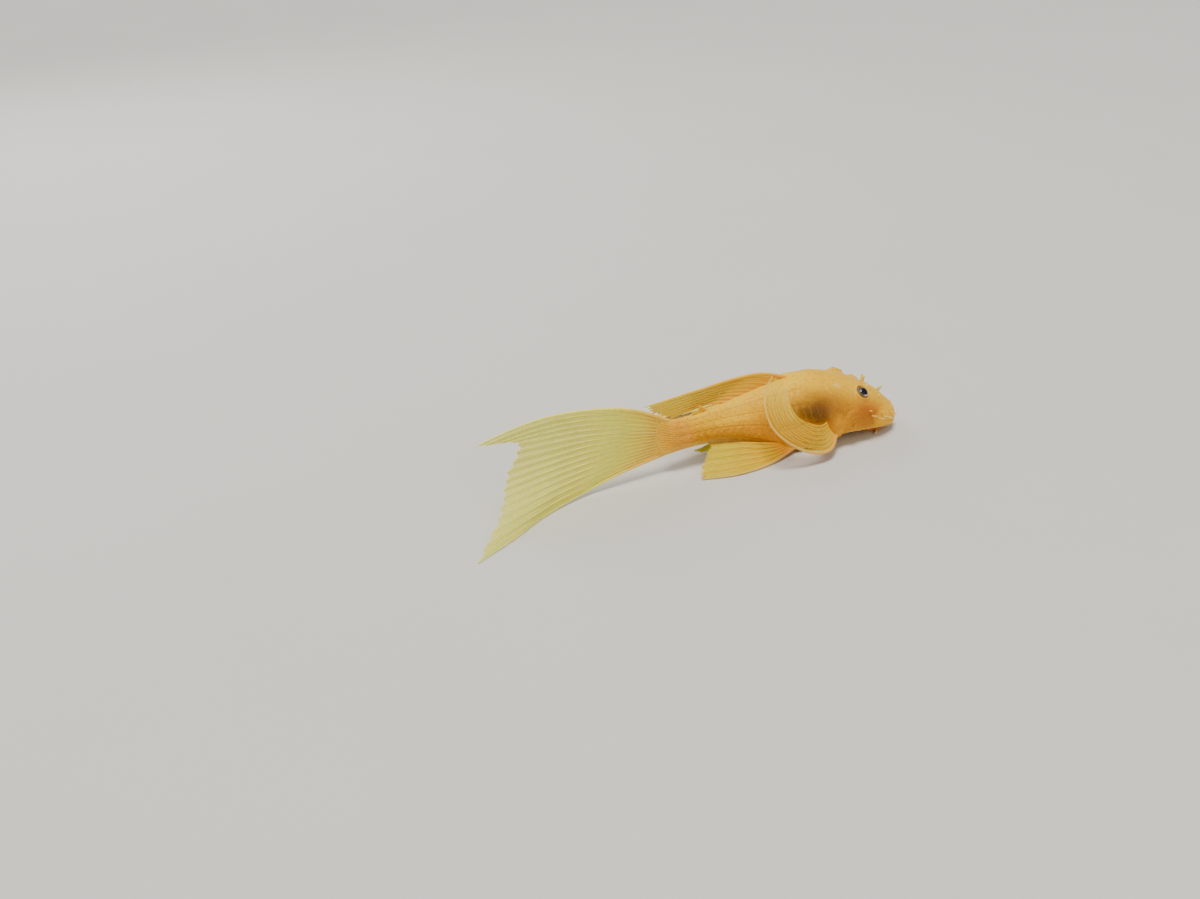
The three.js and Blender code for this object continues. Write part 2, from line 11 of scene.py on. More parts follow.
import bpy
import numpy as np
from mathutils import Matrix, Vector


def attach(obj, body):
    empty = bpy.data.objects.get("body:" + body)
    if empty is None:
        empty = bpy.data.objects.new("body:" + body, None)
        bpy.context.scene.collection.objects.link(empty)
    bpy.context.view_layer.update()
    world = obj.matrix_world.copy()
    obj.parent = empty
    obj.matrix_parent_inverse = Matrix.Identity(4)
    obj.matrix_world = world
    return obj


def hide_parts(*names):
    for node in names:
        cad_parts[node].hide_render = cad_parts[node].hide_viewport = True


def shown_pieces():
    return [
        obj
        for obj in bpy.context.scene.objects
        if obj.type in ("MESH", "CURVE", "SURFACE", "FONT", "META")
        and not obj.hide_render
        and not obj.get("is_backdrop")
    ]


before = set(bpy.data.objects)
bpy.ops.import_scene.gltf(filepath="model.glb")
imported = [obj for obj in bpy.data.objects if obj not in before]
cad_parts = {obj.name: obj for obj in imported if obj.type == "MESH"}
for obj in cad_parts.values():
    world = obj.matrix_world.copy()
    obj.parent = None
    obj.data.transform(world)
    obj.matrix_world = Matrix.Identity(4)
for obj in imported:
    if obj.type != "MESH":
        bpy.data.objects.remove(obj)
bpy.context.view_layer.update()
MM = 0.001

# %% [markdown]
# ## Camera
#
# The photo looks down on the fish from its right and a little behind. A camera can be aimed
# with a constraint, but here its three directions are worked out from azimuth, elevation and
# roll, so that the angle is exact and the frame has no shift.

# %% Place the camera
CAMERA_PLACE = (-150.2, -211.8, 121.0)
CAMERA_AZIMUTH = -26.3
CAMERA_ELEVATION = 25.6
CAMERA_ROLL = -1.7
CAMERA_FIELD = 48.0
SENSOR_WIDTH = 36.0


def camera_matrix(place, azimuth, elevation, roll):
    azimuth, elevation, roll = (math.radians(angle) for angle in (azimuth, elevation, roll))
    level_right = Vector((math.cos(azimuth), math.sin(azimuth), 0))
    forward = Vector((-math.sin(azimuth) * math.cos(elevation),
                      math.cos(azimuth) * math.cos(elevation),
                      -math.sin(elevation)))
    level_up = level_right.cross(forward)
    right = level_right * math.cos(roll) + level_up * math.sin(roll)
    up = level_up * math.cos(roll) - level_right * math.sin(roll)
    turned = Matrix((right, up, -forward)).transposed().to_4x4()
    return Matrix.Translation(Vector(place) * MM) @ turned


camera_data = bpy.data.cameras.new("camera")
camera_data.sensor_width = SENSOR_WIDTH
camera_data.lens = SENSOR_WIDTH / 2 / math.tan(math.radians(CAMERA_FIELD / 2))
camera_data.clip_start = 0.005
camera = bpy.data.objects.new("camera", camera_data)
camera.matrix_world = camera_matrix(CAMERA_PLACE, CAMERA_AZIMUTH, CAMERA_ELEVATION, CAMERA_ROLL)
bpy.context.scene.collection.objects.link(camera)
bpy.context.scene.camera = camera
print("lens in mm:", round(camera_data.lens, 2))

# %% [markdown]
# ## The line of the body
#
# A fish bends along its backbone. The body is described along a line by station, the distance
# behind the snout, and in each cross-section by an offset to the left and a height. The head
# points down and to the right, and the tail lifts and swings to the right.

# %% Bend the body's line
STANDARD_LENGTH = 54.0
REST_STATION = 23.0
LIFT = 2.4
AXIS_HEIGHT = 4.0
HEAD_DOWN, HEAD_DOWN_SPAN = 8.0, (11, 25)
HEAD_RIGHT, HEAD_RIGHT_SPAN = 7.0, (13, 28)
TAIL_UP, TAIL_UP_SPAN = 3.0, (26, 48)
TAIL_RIGHT, TAIL_RIGHT_SPAN = 4.5, (28, 50)
LINE_STEP = 0.5
LINE_END = 62.0
LINE_STATIONS = np.arange(0, LINE_END + LINE_STEP / 2, LINE_STEP)


def smooth(low, high, value):
    share = np.clip((value - low) / (high - low), 0, 1)
    return share * share * (3 - 2 * share)


def between(first, second, share):
    return first + (second - first) * share


def hump(centre, width, value):
    return np.exp(-(((value - centre) / width) ** 2))


def cubic(first, rise, start, end, share):
    """From first to first + rise, with slope start at the beginning and slope end at the end."""
    square, cube = 3 * rise - 2 * start - end, start + end - 2 * rise
    return first + start * share + square * share ** 2 + cube * share ** 3


def body_line(station):
    head_down = HEAD_DOWN * (1 - smooth(*HEAD_DOWN_SPAN, station))
    head_right = -HEAD_RIGHT * (1 - smooth(*HEAD_RIGHT_SPAN, station))
    down = np.radians(head_down + TAIL_UP * smooth(*TAIL_UP_SPAN, station))
    turn = np.radians(head_right + TAIL_RIGHT * smooth(*TAIL_RIGHT_SPAN, station))
    level = np.zeros_like(station)
    ahead = np.stack([np.cos(down) * np.cos(turn), np.cos(down) * np.sin(turn), -np.sin(down)], 1)
    left = np.stack([-np.sin(turn), np.cos(turn), level], 1)
    steps = (ahead[1:] + ahead[:-1]) * (-LINE_STEP / 2)
    place = np.concatenate([np.zeros((1, 3)), np.cumsum(steps, 0)])
    place += np.array([0, 0, LIFT + AXIS_HEIGHT]) - place[int(REST_STATION / LINE_STEP)]
    return place, ahead, left, np.cross(ahead, left)


LINE_PLACE, LINE_AHEAD, LINE_LEFT, LINE_UP = body_line(LINE_STATIONS)


def along_line(values, station):
    return np.stack([np.interp(station, LINE_STATIONS, values[:, axis]) for axis in range(3)], -1)


def on_body(station, offset, height):
    station, offset, height = (np.asarray(value, float) for value in (station, offset, height))
    point = along_line(LINE_PLACE, station)
    point = point + along_line(LINE_LEFT, station) * offset[..., None]
    return point + along_line(LINE_UP, station) * (height - AXIS_HEIGHT)[..., None]


print("snout at", on_body(0, 0, 2.9).round(1), "tail base at", on_body(STANDARD_LENGTH, 0, 4).round(1))

# %% [markdown]
# ## Cross-sections
#
# A table of half width, back and belly is enough for a pleco: flat below and arched above.
# A smooth curve runs through each column of the table, and each section is two half ovals with
# squarer corners underneath. The last three rows thin the skin out over the root of the tail fin.

# %% Describe the cross-sections
# Each row is a station, the half width there, and the heights of the back and of the belly.
PROFILE = np.array([
    [0, 0.3, 3.0, 2.5],
    [0.4, 2.7, 4.1, 1.3],
    [1.3, 4.9, 5.1, 0.7],
    [3.0, 6.5, 6.3, 0.6],
    [6.0, 8.0, 8.0, 0.6],
    [11.3, 9.1, 9.8, 0.3],
    [16.5, 9.4, 10.9, -0.5],
    [20.5, 9.0, 11.3, -2.3],
    [24.5, 8.2, 11.5, -2.8],
    [31, 6.3, 10.6, -2.2],
    [38.5, 4.1, 9.1, 0.2],
    [45, 2.5, 8.1, 1.1],
    [50, 1.8, 7.6, 1.0],
    [54, 1.3, 7.8, 0.6],
    [54.6, 0.78, 8.0, 0.45],
    [55.4, 0.45, 8.3, 0.3],
    [57.4, 0.01, 8.95, 0.0],
])
EYE_STATION, EYE_OFFSET, EYE_RADIUS, EYE_SUNK = 11.2, 5.8, 1.6, 0.85
EYE_MOUND_RISE, EYE_MOUND_WIDTH = 0.4, 2.3
LIP_BAND, LIP_HEIGHT, LIP_GROOVE = 2.3, 1.9, 0.16
TURN_STEP, STATION_STEP = 0.02, 0.2


def profile(station, column):
    stations, values = PROFILE[:, 0], PROFILE[:, column]
    last = len(stations) - 1
    k = np.clip(np.searchsorted(stations, station, side="left") - 1, 0, last - 1)
    before, after = np.maximum(k - 1, 0), np.minimum(k + 2, last)
    span = stations[k + 1] - stations[k]
    share = np.clip((station - stations[k]) / span, 0, 1)
    start = (values[k + 1] - values[before]) / (stations[k + 1] - stations[before]) * span
    end = (values[after] - values[k]) / (stations[after] - stations[k]) * span
    return cubic(values[k], values[k + 1] - values[k], start, end, share)


def section(station, turn):
    half, top, bottom = (profile(station, column) for column in (1, 2, 3))
    widest = between(bottom, top, between(0.34, 0.46, smooth(18, 46, station)))
    side, rise = np.cos(turn), np.sin(turn)
    low_power = between(0.5, 0.8, smooth(28, 46, station))
    power = np.where(rise > 0, between(0.92, 1.0, smooth(8, 28, station)), low_power)
    offset = half * np.sign(side) * np.abs(side) ** power
    above = widest + (top - widest) * np.abs(rise) ** power
    below = widest - (widest - bottom) * np.abs(rise) ** low_power
    return offset, np.where(rise > 0, above, below)


def base_lift(station, offset, height):
    """The skin swells round the eyes, and a groove sets off the margin of the snout."""
    away = np.hypot(station - EYE_STATION, np.abs(offset) - EYE_OFFSET)
    mound = np.where(height > AXIS_HEIGHT, EYE_MOUND_RISE * hump(0, EYE_MOUND_WIDTH, away), 0)
    near = np.minimum(station / LIP_BAND, (height - profile(station, 3)) / LIP_HEIGHT)
    groove = LIP_GROOVE * hump(1, 0.22, near) * (1 - smooth(8, 10, station))
    return mound - groove


def skin_points(station, turn, out=0.0):
    """Points on the skin; turn is 0 at the left flank and a quarter turn at the back."""
    station, turn = np.broadcast_arrays(np.asarray(station, float), np.asarray(turn, float))
    offset, height = section(station, turn)
    point = on_body(station, offset, height)
    around = on_body(station, *section(station, turn + TURN_STEP)) - point
    behind = on_body(station + STATION_STEP, *section(station + STATION_STEP, turn)) - point
    outward = -np.cross(around, behind)
    outward /= np.linalg.norm(outward, axis=-1, keepdims=True)
    lift = base_lift(station, offset, height) + out
    point = point + outward * lift[..., None]
    point[..., 2] = np.maximum(point[..., 2], 0)
    return point


body_width = 2 * PROFILE[:, 1].max()
print("body is", round(body_width, 1), "mm wide and", STANDARD_LENGTH, "mm long to the tail base")

# %% [markdown]
# ## Making meshes from grids
#
# Skin, lips, fins and eyes are all grids of points. One helper joins neighbouring points with
# quads, and another closes a grid of rings with a fan of triangles at either end. A third turns
# millimetres into a Blender mesh with named values per point, which the finishes read later. The
# sign of the volume shows whether the faces point outwards.

# %% Helpers for grid meshes
def grid_faces(rows, columns, closed=False):
    across = np.arange(columns if closed else columns - 1)
    row, column = np.meshgrid(np.arange(rows - 1), across, indexing="ij")
    here = row * columns + column
    beside = row * columns + (column + 1) % columns
    return np.stack([here, beside, beside + columns, here + columns], -1).reshape(-1, 4).tolist()


def fan_faces(tip, ring):
    return [(tip, ring[k], ring[(k + 1) % len(ring)]) for k in range(len(ring))]


def closed_faces(rows, columns):
    """Faces of a grid of rings, and a fan from either end to a tip. Both tips follow the rings."""
    count, ring = rows * columns, np.arange(columns)
    ends = fan_faces(count, ring[::-1].tolist())
    ends += fan_faces(count + 1, (count - columns + ring).tolist())
    return grid_faces(rows, columns, closed=True) + ends


def signed_volume(mesh):
    mesh.calc_loop_triangles()
    corners = np.zeros(len(mesh.loop_triangles) * 3, np.int32)
    mesh.loop_triangles.foreach_get("vertices", corners)
    places = np.zeros(len(mesh.vertices) * 3)
    mesh.vertices.foreach_get("co", places)
    a, b, c = places.reshape(-1, 3)[corners.reshape(-1, 3)].transpose(1, 0, 2)
    return float((a * np.cross(b, c)).sum() / 6)


def new_piece(name, points, faces, values=None, edges=()):
    mesh = bpy.data.meshes.new(name)
    mesh.from_pydata((np.asarray(points) * MM).tolist(), list(edges), faces)
    if faces and signed_volume(mesh) < 0:
        mesh.flip_normals()
    for key, value in (values or {}).items():
        value = np.asarray(value, np.float32)
        kind = "FLOAT_VECTOR" if value.ndim == 2 else "FLOAT"
        field = mesh.attributes.new(key, kind, "POINT")
        field.data.foreach_set("vector" if value.ndim == 2 else "value", value.ravel())
    if faces:
        mesh.shade_smooth()
    piece = bpy.data.objects.new(name, mesh)
    bpy.context.scene.collection.objects.link(piece)
    return piece


def triangles(piece):
    piece.data.calc_loop_triangles()
    return len(piece.data.loop_triangles)


print("helpers ready")

# %% [markdown]
# ## Writing shader maths as Python
#
# A finish is easier to read as `base + spots * 0.2` than as a web of nodes. A small class wraps a
# number socket and turns each operator into a Math node. Everything else comes from one method
# that adds any node, with its settings first and then the values or links of its sockets. A list
# of layers, each a share and a colour, is laid over the ground colour as a painter would do it.

# %% A small language for finishes
class Number:
    def __init__(self, finish, socket):
        self.finish, self.socket = finish, socket

    def math(self, operation, first, second):
        node = self.finish.node("ShaderNodeMath", {"operation": operation}, {0: first, 1: second})
        return Number(self.finish, node.outputs[0])

    def __add__(self, other):
        return self.math("ADD", self, other)

    __radd__ = __add__

    def __sub__(self, other):
        return self.math("SUBTRACT", self, other)

    def __rsub__(self, other):
        return self.math("SUBTRACT", other, self)

    def __mul__(self, other):
        return self.math("MULTIPLY", self, other)

    def power(self, other):
        return self.math("POWER", self, other)

    def distance(self, other):
        node = self.finish.node("ShaderNodeMath", {"operation": "ABSOLUTE"}, {0: self - other})
        return Number(self.finish, node.outputs[0])

    def rising(self, low, high):
        settings = {"interpolation_type": "SMOOTHSTEP"}
        sockets = {"Value": self, "From Min": low, "From Max": high}
        node = self.finish.node("ShaderNodeMapRange", settings, sockets)
        return Number(self.finish, node.outputs[0])

    def near(self, centre, width):
        return 1 - self.distance(centre).rising(0, width)


class Finish:
    def __init__(self, name):
        self.material = bpy.data.materials.new(name)
        self.material.use_nodes = True
        self.tree = self.material.node_tree
        self.tree.nodes.clear()
        self.output = self.node("ShaderNodeOutputMaterial")

    def node(self, kind, settings=None, sockets=None):
        node = self.tree.nodes.new(kind)
        for key, value in (settings or {}).items():
            setattr(node, key, value)
        for key, value in (sockets or {}).items():
            if isinstance(value, Number):
                value = value.socket
            if isinstance(value, bpy.types.NodeSocket):
                self.tree.links.new(value, node.inputs[key])
            else:
                node.inputs[key].default_value = value
        return node

    def attribute(self, name):
        return Number(self, self.node("ShaderNodeAttribute", {"attribute_name": name}).outputs["Fac"])

    def place(self):
        return self.node("ShaderNodeTexCoord").outputs["Object"]

    def noise(self, per_mm, detail=3.0, roughness=0.55):
        sockets = {"Vector": self.place(), "Scale": per_mm / MM, "Detail": detail,
                   "Roughness": roughness}
        return Number(self, self.node("ShaderNodeTexNoise", None, sockets).outputs["Fac"])

    def cells(self, per_mm, feature="F1", wobble_mm=0.25):
        """Distances in a pattern of cells whose walls waver a little."""
        wave = self.node("ShaderNodeTexNoise", None, {"Vector": self.place(), "Scale": 1.1 / MM})
        sockets = {0: wave.outputs["Color"], 1: (0.5, 0.5, 0.5)}
        centred = self.node("ShaderNodeVectorMath", {"operation": "SUBTRACT"}, sockets).outputs[0]
        sockets = {0: centred, 1: (2 * wobble_mm * MM,) * 3, 2: self.place()}
        moved = self.node("ShaderNodeVectorMath", {"operation": "MULTIPLY_ADD"}, sockets).outputs[0]
        sockets = {"Vector": moved, "Scale": per_mm / MM}
        node = self.node("ShaderNodeTexVoronoi", {"feature": feature}, sockets)
        return Number(self, node.outputs["Distance"])

    def mix(self, share, first, second):
        sockets = {0: share, 6: first, 7: second}
        return self.node("ShaderNodeMix", {"data_type": "RGBA"}, sockets).outputs[2]

    def painted(self, ground, *layers):
        """Paints over the ground's colour, layer by layer, each given as its share and colour."""
        paint = colour(ground)
        for share, tint in layers:
            paint = self.mix(share, paint, colour(tint))
        return paint

    def bump(self, height, depth_mm):
        sockets = {"Height": height, "Distance": depth_mm * MM, "Strength": 1.0}
        return self.node("ShaderNodeBump", None, sockets).outputs[0]

    def surface(self, sockets):
        shader = self.node("ShaderNodeBsdfPrincipled", None, sockets)
        self.tree.links.new(shader.outputs[0], self.output.inputs[0])


def colour(text):
    """A colour written as in a paint program, as the light values that shaders use."""
    parts = [int(text[k:k + 2], 16) / 255 for k in (1, 3, 5)]
    linear = [part / 12.92 if part <= 0.04045 else ((part + 0.055) / 1.055) ** 2.4 for part in parts]
    return (*linear, 1.0)


print("golden skin in linear light:", [round(part, 3) for part in colour("#dda242")])

# %% [markdown]
# ## Bony plates and the relief of the skin
#
# A bristlenose wears five rows of bony plates on each flank. Each plate rises to its curved rear
# edge, which overlaps the next one. Plates could be separate meshes, but on the living fish one
# thin skin covers them, so they are relief on a single fine grid: smooth in front, and a sharp
# little step behind. The head adds its sutures, gill cover, nostrils and eye sockets.

# %% The relief of the skin
GAP = 0.3
GILL_SIDE = 17.0
STALK_START = 42.0
TRUNK_PLATES, STALK_PLATES = 16, 8
PLATE_ROW_EDGES = (84, 60, 36, 10, -16, -40)
PLATE_STAGGER, PLATE_EDGE_CURVE = 0.42, 0.3
EYE_SOCKET_DEPTH = 1.7
NOSTRIL_STATION, NOSTRIL_DEGREES = 8.2, 71.0
NOSTRIL_RIM, NOSTRIL_DEPTH = 0.3, 0.9
FOLD_MM_A_DEGREE = 0.11
TAIL_ROOT, TAIL_TOP, TAIL_BOTTOM = 53.5, 7.4, 1.0
TAIL_TOP_RISE, TAIL_BOTTOM_FALL = 0.53, 0.24
TAIL_RIDGES = 15
SKIN_END = 57.2


def gill_line(turn):
    rise = np.sin(turn)
    return GILL_SIDE + np.where(rise > 0, 3 * rise ** 2, -1.5 * rise ** 2)


def mirrored_degrees(turn):
    degrees = np.degrees(turn)
    return np.where(degrees > 90, 180 - degrees, degrees)


def side_turn(side, degrees):
    """The turn of a place so many degrees up the left flank, side 1, or the right one, side -1."""
    return math.radians(degrees if side > 0 else 180 - degrees)


def plates(station, turn):
    """For each point: height of its plate, closeness to a plate's rear edge, and to a row's edge."""
    degrees = mirrored_degrees(turn)
    height, rear, seam = (np.zeros_like(degrees) for _ in range(3))
    on_trunk = station < STALK_START + GAP / 2
    start = np.where(on_trunk, gill_line(turn) + GAP, STALK_START + GAP)
    end = np.where(on_trunk, STALK_START, STANDARD_LENGTH)
    count = np.where(on_trunk, TRUNK_PLATES, STALK_PLATES)
    place = (station - start) / (end - start) * count
    # The edges of the plates waver a little.
    place = place + 0.07 * np.sin(degrees * 0.55 + station * 1.3)
    place = place + 0.05 * np.sin(degrees * 0.21 - station * 2.1)
    here = smooth(1.8, 6.5, station - gill_line(turn)) * (1 - smooth(52.6, 54.2, station))
    for row, (top, bottom) in enumerate(zip(PLATE_ROW_EDGES, PLATE_ROW_EDGES[1:])):
        inside = (degrees <= top) & (degrees > bottom)
        across = np.clip((top - degrees) / (top - bottom), 0, 1)
        bow = 4 * across * (1 - across)
        plate = (place - bow * (PLATE_EDGE_CURVE + (row % 2) * PLATE_STAGGER)) % 1
        slope = np.clip(plate / 0.88, 0, 1) ** 1.3 * (1 - smooth(0.88, 0.97, plate))
        keel = 0.35 * hump(0.5, 0.13, across)
        edge = smooth(0.0, 0.12, across) * (1 - smooth(0.88, 1, across))
        height = np.where(inside, (slope * (0.75 + keel) + keel * 0.5) * edge, height)
        rear = np.where(inside, hump(0.86, 0.1, plate) * edge, rear)
        seam = np.where(inside, 1 - edge, seam)
    return height * here, rear * here, seam * here


def eye_turn(side):
    up = math.acos(EYE_OFFSET / profile(np.float64(EYE_STATION), 1))
    return up if side > 0 else math.pi - up


def outward_at(station, turn):
    direction = skin_points(station, turn, 1.0) - skin_points(station, turn)
    return direction / np.linalg.norm(direction)


def radial(points, centre, axis):
    away = points - centre
    depth = away @ axis
    return np.linalg.norm(away - depth[..., None] * axis, axis=-1), depth


def eye_place(side):
    """The centre of an eye and the direction in which it looks."""
    turn = eye_turn(side)
    return skin_points(EYE_STATION, turn, -EYE_SUNK), outward_at(EYE_STATION, turn)


EYES = {side: eye_place(side) for side in (1, -1)}


def fold(station, degrees, first, last, width, height):
    """A swelling of skin along a line from first to last, each given as station and degrees."""
    scale = np.array([1, FOLD_MM_A_DEGREE])
    point = np.stack([station, degrees], -1) * scale
    start, end = (np.array(place) * scale for place in (first, last))
    step = end - start
    share = np.clip((point - start) @ step / (step @ step), 0, 1)
    away = np.linalg.norm(point - start - share[..., None] * step, axis=-1)
    return height * hump(0, width, away)


def head_relief(station, turn, points):
    degrees = mirrored_degrees(turn)
    relief = np.zeros_like(degrees)
    # The shield of the head ends in a low step.
    shield = station - gill_line(turn)
    step = smooth(-3.2, -0.2, shield) * (1 - smooth(-0.15, 0.1, shield))
    relief += 0.11 * step * smooth(-8, 24, degrees)
    # The gill cover swells, and a groove runs round its rear.
    cover = np.hypot((station - 13.6) / 3.1, (degrees - 4 + (station - 14) * 2) / 17)
    behind = smooth(12.6, 14.6, station)
    relief += (0.2 * (1 - smooth(0.7, 1.05, cover)) - 0.12 * hump(1.12, 0.1, cover)) * behind
    # Sutures part the bones: along the cheek, along the crown, and across the head.
    cheek = degrees - 27 - 5 * np.sin((station - 4) / 3.2)
    relief -= 0.08 * hump(0, 1.3, cheek) * smooth(3, 5, station) * (1 - smooth(15, 17, station))
    crown = degrees - 66 - 1.1 * (station - 14)
    relief -= 0.07 * hump(0, 1.5, crown) * smooth(11, 13, station) * (1 - smooth(18.5, 19.5, station))
    crease = station - 12.9 - 0.02 * (degrees - 70) ** 2 / 4
    relief -= 0.07 * hump(0, 0.16, crease) * smooth(56, 62, degrees)
    # A low ridge runs along the middle of the nape.
    ridge = smooth(8, 14, station) * (1 - smooth(20, 23, station))
    relief += 0.18 * hump(90, 9, degrees) * ridge
    # The skin swells round the roots of the pectoral, pelvic and dorsal fins.
    relief += fold(station, degrees, (17.6, -14), (19.8, 9), 1.2, 0.75)
    relief += fold(station, degrees, (26.4, -34), (29.4, -22), 0.9, 0.35)
    relief += fold(station, degrees, (24.0, 90), (38.8, 90), 0.7, 0.22)
    for side in (1, -1):
        # Each eye has a socket, a rim that is highest as a brow above it, and a crease outside.
        across, depth = radial(points, *EYES[side])
        outer = np.where(depth > -0.6, 1.0, 0.0)
        relief -= outer * EYE_SOCKET_DEPTH * (1 - smooth(1.18, 1.42, across))
        brow = 0.24 + 0.34 * smooth(50, 62, degrees)
        relief += outer * brow * hump(1.64, 0.28, across) - outer * 0.07 * hump(2.3, 0.2, across)
        # Each nostril is a pit with a raised rim.
        nose_turn = side_turn(side, NOSTRIL_DEGREES)
        nose = skin_points(NOSTRIL_STATION, nose_turn)
        across, depth = radial(points, nose, outward_at(NOSTRIL_STATION, nose_turn))
        outer = np.where(depth > -1, 1.0, 0.0)
        relief += outer * NOSTRIL_RIM * hump(0.78, 0.22, across)
        relief -= outer * NOSTRIL_DEPTH * (1 - smooth(0.3, 0.6, across))
    return relief


def tail_relief(station, turn):
    """Low ridges on the fleshy tail base, where the rays of the tail fin begin."""
    behind = station - TAIL_ROOT
    top, bottom = TAIL_TOP + TAIL_TOP_RISE * behind, TAIL_BOTTOM - TAIL_BOTTOM_FALL * behind
    across = (top - section(station, turn)[1]) / (top - bottom)
    fade = smooth(51.0, 54.4, station + 1.2 * (2 * across - 1) ** 2) * (np.abs(across - 0.5) < 0.5)
    fade = fade * (1 - smooth(55.6, SKIN_END, station))
    return 0.5 * (1 + np.cos(2 * math.pi * TAIL_RIDGES * across)) * fade


print("plates a side:", (TRUNK_PLATES + STALK_PLATES) * (len(PLATE_ROW_EDGES) - 1))

# %% [markdown]
# ## The skin
#
# Points are spread evenly round each section, but closer together on the head and flanks than
# under the belly, so the relief is crisp where it shows. Small random swellings keep the surface
# from looking turned on a lathe.

# %% Make the skin
SKIN_COLUMNS = 250
HEAD_RINGS, BODY_RINGS, HEAD_END = 150, 226, 17.5
FINE_TURNS = np.radians(np.linspace(-90, 270, 2161))
PLATE_RISE, SEAM_DEPTH = 0.14, 0.05
SWELLING_RISE, TAIL_RIDGE_RISE = 0.022, 0.13
BRISTLE_LEAN = 0.45


def ring_stations():
    head = HEAD_END * np.linspace(0, 1, HEAD_RINGS + 1) ** 1.6
    body = np.linspace(HEAD_END, SKIN_END, BODY_RINGS + 1)
    return np.concatenate([head, body[1:]])


def even_turns(station):
    offset, height = section(np.full_like(FINE_TURNS, station), FINE_TURNS)
    length = np.hypot(np.diff(offset), np.diff(height))
    middle = np.sin((FINE_TURNS[1:] + FINE_TURNS[:-1]) / 2)
    length = length * between(1.0, 0.5, smooth(-0.45, -0.8, middle)) + 1e-6
    walked = np.concatenate([[0], np.cumsum(length)])
    wanted = np.arange(SKIN_COLUMNS) / SKIN_COLUMNS * walked[-1]
    return np.interp(wanted, walked, FINE_TURNS)


def swellings(points, seed=7, count=26):
    random = np.random.default_rng(seed)
    total = np.zeros(points.shape[:-1])
    for _ in range(count):
        direction = random.normal(size=3)
        direction *= random.uniform(0.5, 2.4) / np.linalg.norm(direction)
        total += np.sin(points @ direction + random.uniform(0, 6.28))
    return total / math.sqrt(count)


def with_tips(values):
    return np.concatenate([values.ravel(), [values[0].mean(), values[-1].mean()]])


stations = ring_stations()
turns = np.array([even_turns(station) for station in stations])
stations = np.repeat(stations[:, None], SKIN_COLUMNS, 1)
degrees = mirrored_degrees(turns)
plain = skin_points(stations, turns)
plate_height, plate_rear, plate_seam = plates(stations, turns)
tail_ridges = tail_relief(stations, turns)
relief = PLATE_RISE * plate_height - SEAM_DEPTH * plate_seam + head_relief(stations, turns, plain)
relief += SWELLING_RISE * swellings(plain) + TAIL_RIDGE_RISE * tail_ridges
skin_grid = skin_points(stations, turns, relief)
tips = np.array([skin_grid[0].mean(0), skin_grid[-1].mean(0)])
outward = skin_points(stations, turns, 1.0) - plain
outward /= np.maximum(np.linalg.norm(outward, axis=-1, keepdims=True), 1e-9)
lean = outward * BRISTLE_LEAN - along_line(LINE_AHEAD, stations)
skin = new_piece("skin", np.concatenate([skin_grid.reshape(-1, 3), tips]), closed_faces(*turns.shape), {
    "station": with_tips(stations),
    "degrees": with_tips(degrees),
    "near_side": with_tips(np.where(np.degrees(turns) > 90, 1.0, 0.0)),
    # Painted highlight: the rear edges of the plates and the ridges of the tail base are painted paler.
    "rear_edge_highlight": with_tips(np.maximum(plate_rear, 1.6 * tail_ridges)),
    "row_seam": with_tips(plate_seam),
    "bristles": with_tips(plate_rear * smooth(-25, 0, degrees) * smooth(21, 27, stations)),
    # Painted shade: the deep hollows, such as the eye sockets and nostrils, are painted dark.
    "hollow_shade": with_tips(np.clip(-(relief + 0.1) / 0.5, 0, 1)),
    "lean": np.concatenate([lean.reshape(-1, 3), [[1, 0, 0], [-1, 0, 0]]]),
})
print("skin:", triangles(skin), "triangles")

# %% [markdown]
# ## Fins as sheets through a few guide rays
#
# A fin is a fan of bony rays with a thin membrane between them. A few guide curves give its
# shape, and a smooth sheet runs through them. The membrane is a thin closed shell on that sheet,
# pleated a little between the rays, with a worn, softly scalloped margin.

# %% Curves and sheets
ROOT_SUNK = 0.5
SPAN_POINTS = 60
NORMAL_STEP = 0.012


def with_ends(rows):
    """Adds a row before the first and one behind the last, each straight on."""
    return np.concatenate([[2 * rows[0] - rows[1]], rows, [2 * rows[-1] - rows[-2]]])


def spline(points):
    """A smooth curve through points, sampled finely. It makes no loops if they are uneven."""
    points = with_ends(np.asarray(points, float))
    stretches = []
    share = np.linspace(0, 1, SPAN_POINTS + 1)[:-1, None]
    roots = [max(np.linalg.norm(step), 1e-4) ** 0.5 for step in np.diff(points, axis=0)]
    for k in range(len(points) - 3):
        before, first, second, after = points[k:k + 4]
        first_root, root, last_root = roots[k:k + 3]
        start = (first - before) / first_root - (second - before) / (first_root + root)
        end = (second - first) / root - (after - first) / (root + last_root)
        start = (start + (second - first) / root) * root
        end = (end + (after - second) / last_root) * root
        stretches.append(cubic(first, second - first, start, end, share))
    return np.concatenate([*stretches, points[-2][None]])


def walked_along(points):
    return np.concatenate([[0], np.cumsum(np.linalg.norm(np.diff(points, axis=0), axis=1))])


def at_share(points, share):
    """Points at shares of a curve's length."""
    walked = walked_along(points)
    share = np.asarray(share, float) * walked[-1]
    return np.stack([np.interp(share, walked, points[:, axis]) for axis in range(3)], -1)


def sheet(guides, across, along):
    """Points of a fin: across runs from its first ray to its last, along from root to tip."""
    across, along = np.broadcast_arrays(np.asarray(across, float), np.asarray(along, float))
    along_guide = np.clip(along.ravel(), 0, 1)
    rows = with_ends(np.stack([at_share(spline(guide), along_guide) for guide in guides]))
    place = np.clip(across.ravel(), 0, 1) * (len(guides) - 1)
    guide_before = np.minimum(place.astype(int), len(guides) - 2)
    pick = np.arange(len(place))
    before, first, second, after = (rows[guide_before + step, pick] for step in range(4))
    start, end = (second - before) / 2, (after - first) / 2
    points = cubic(first, second - first, start, end, (place - guide_before)[:, None])
    return points.reshape(*across.shape, 3)


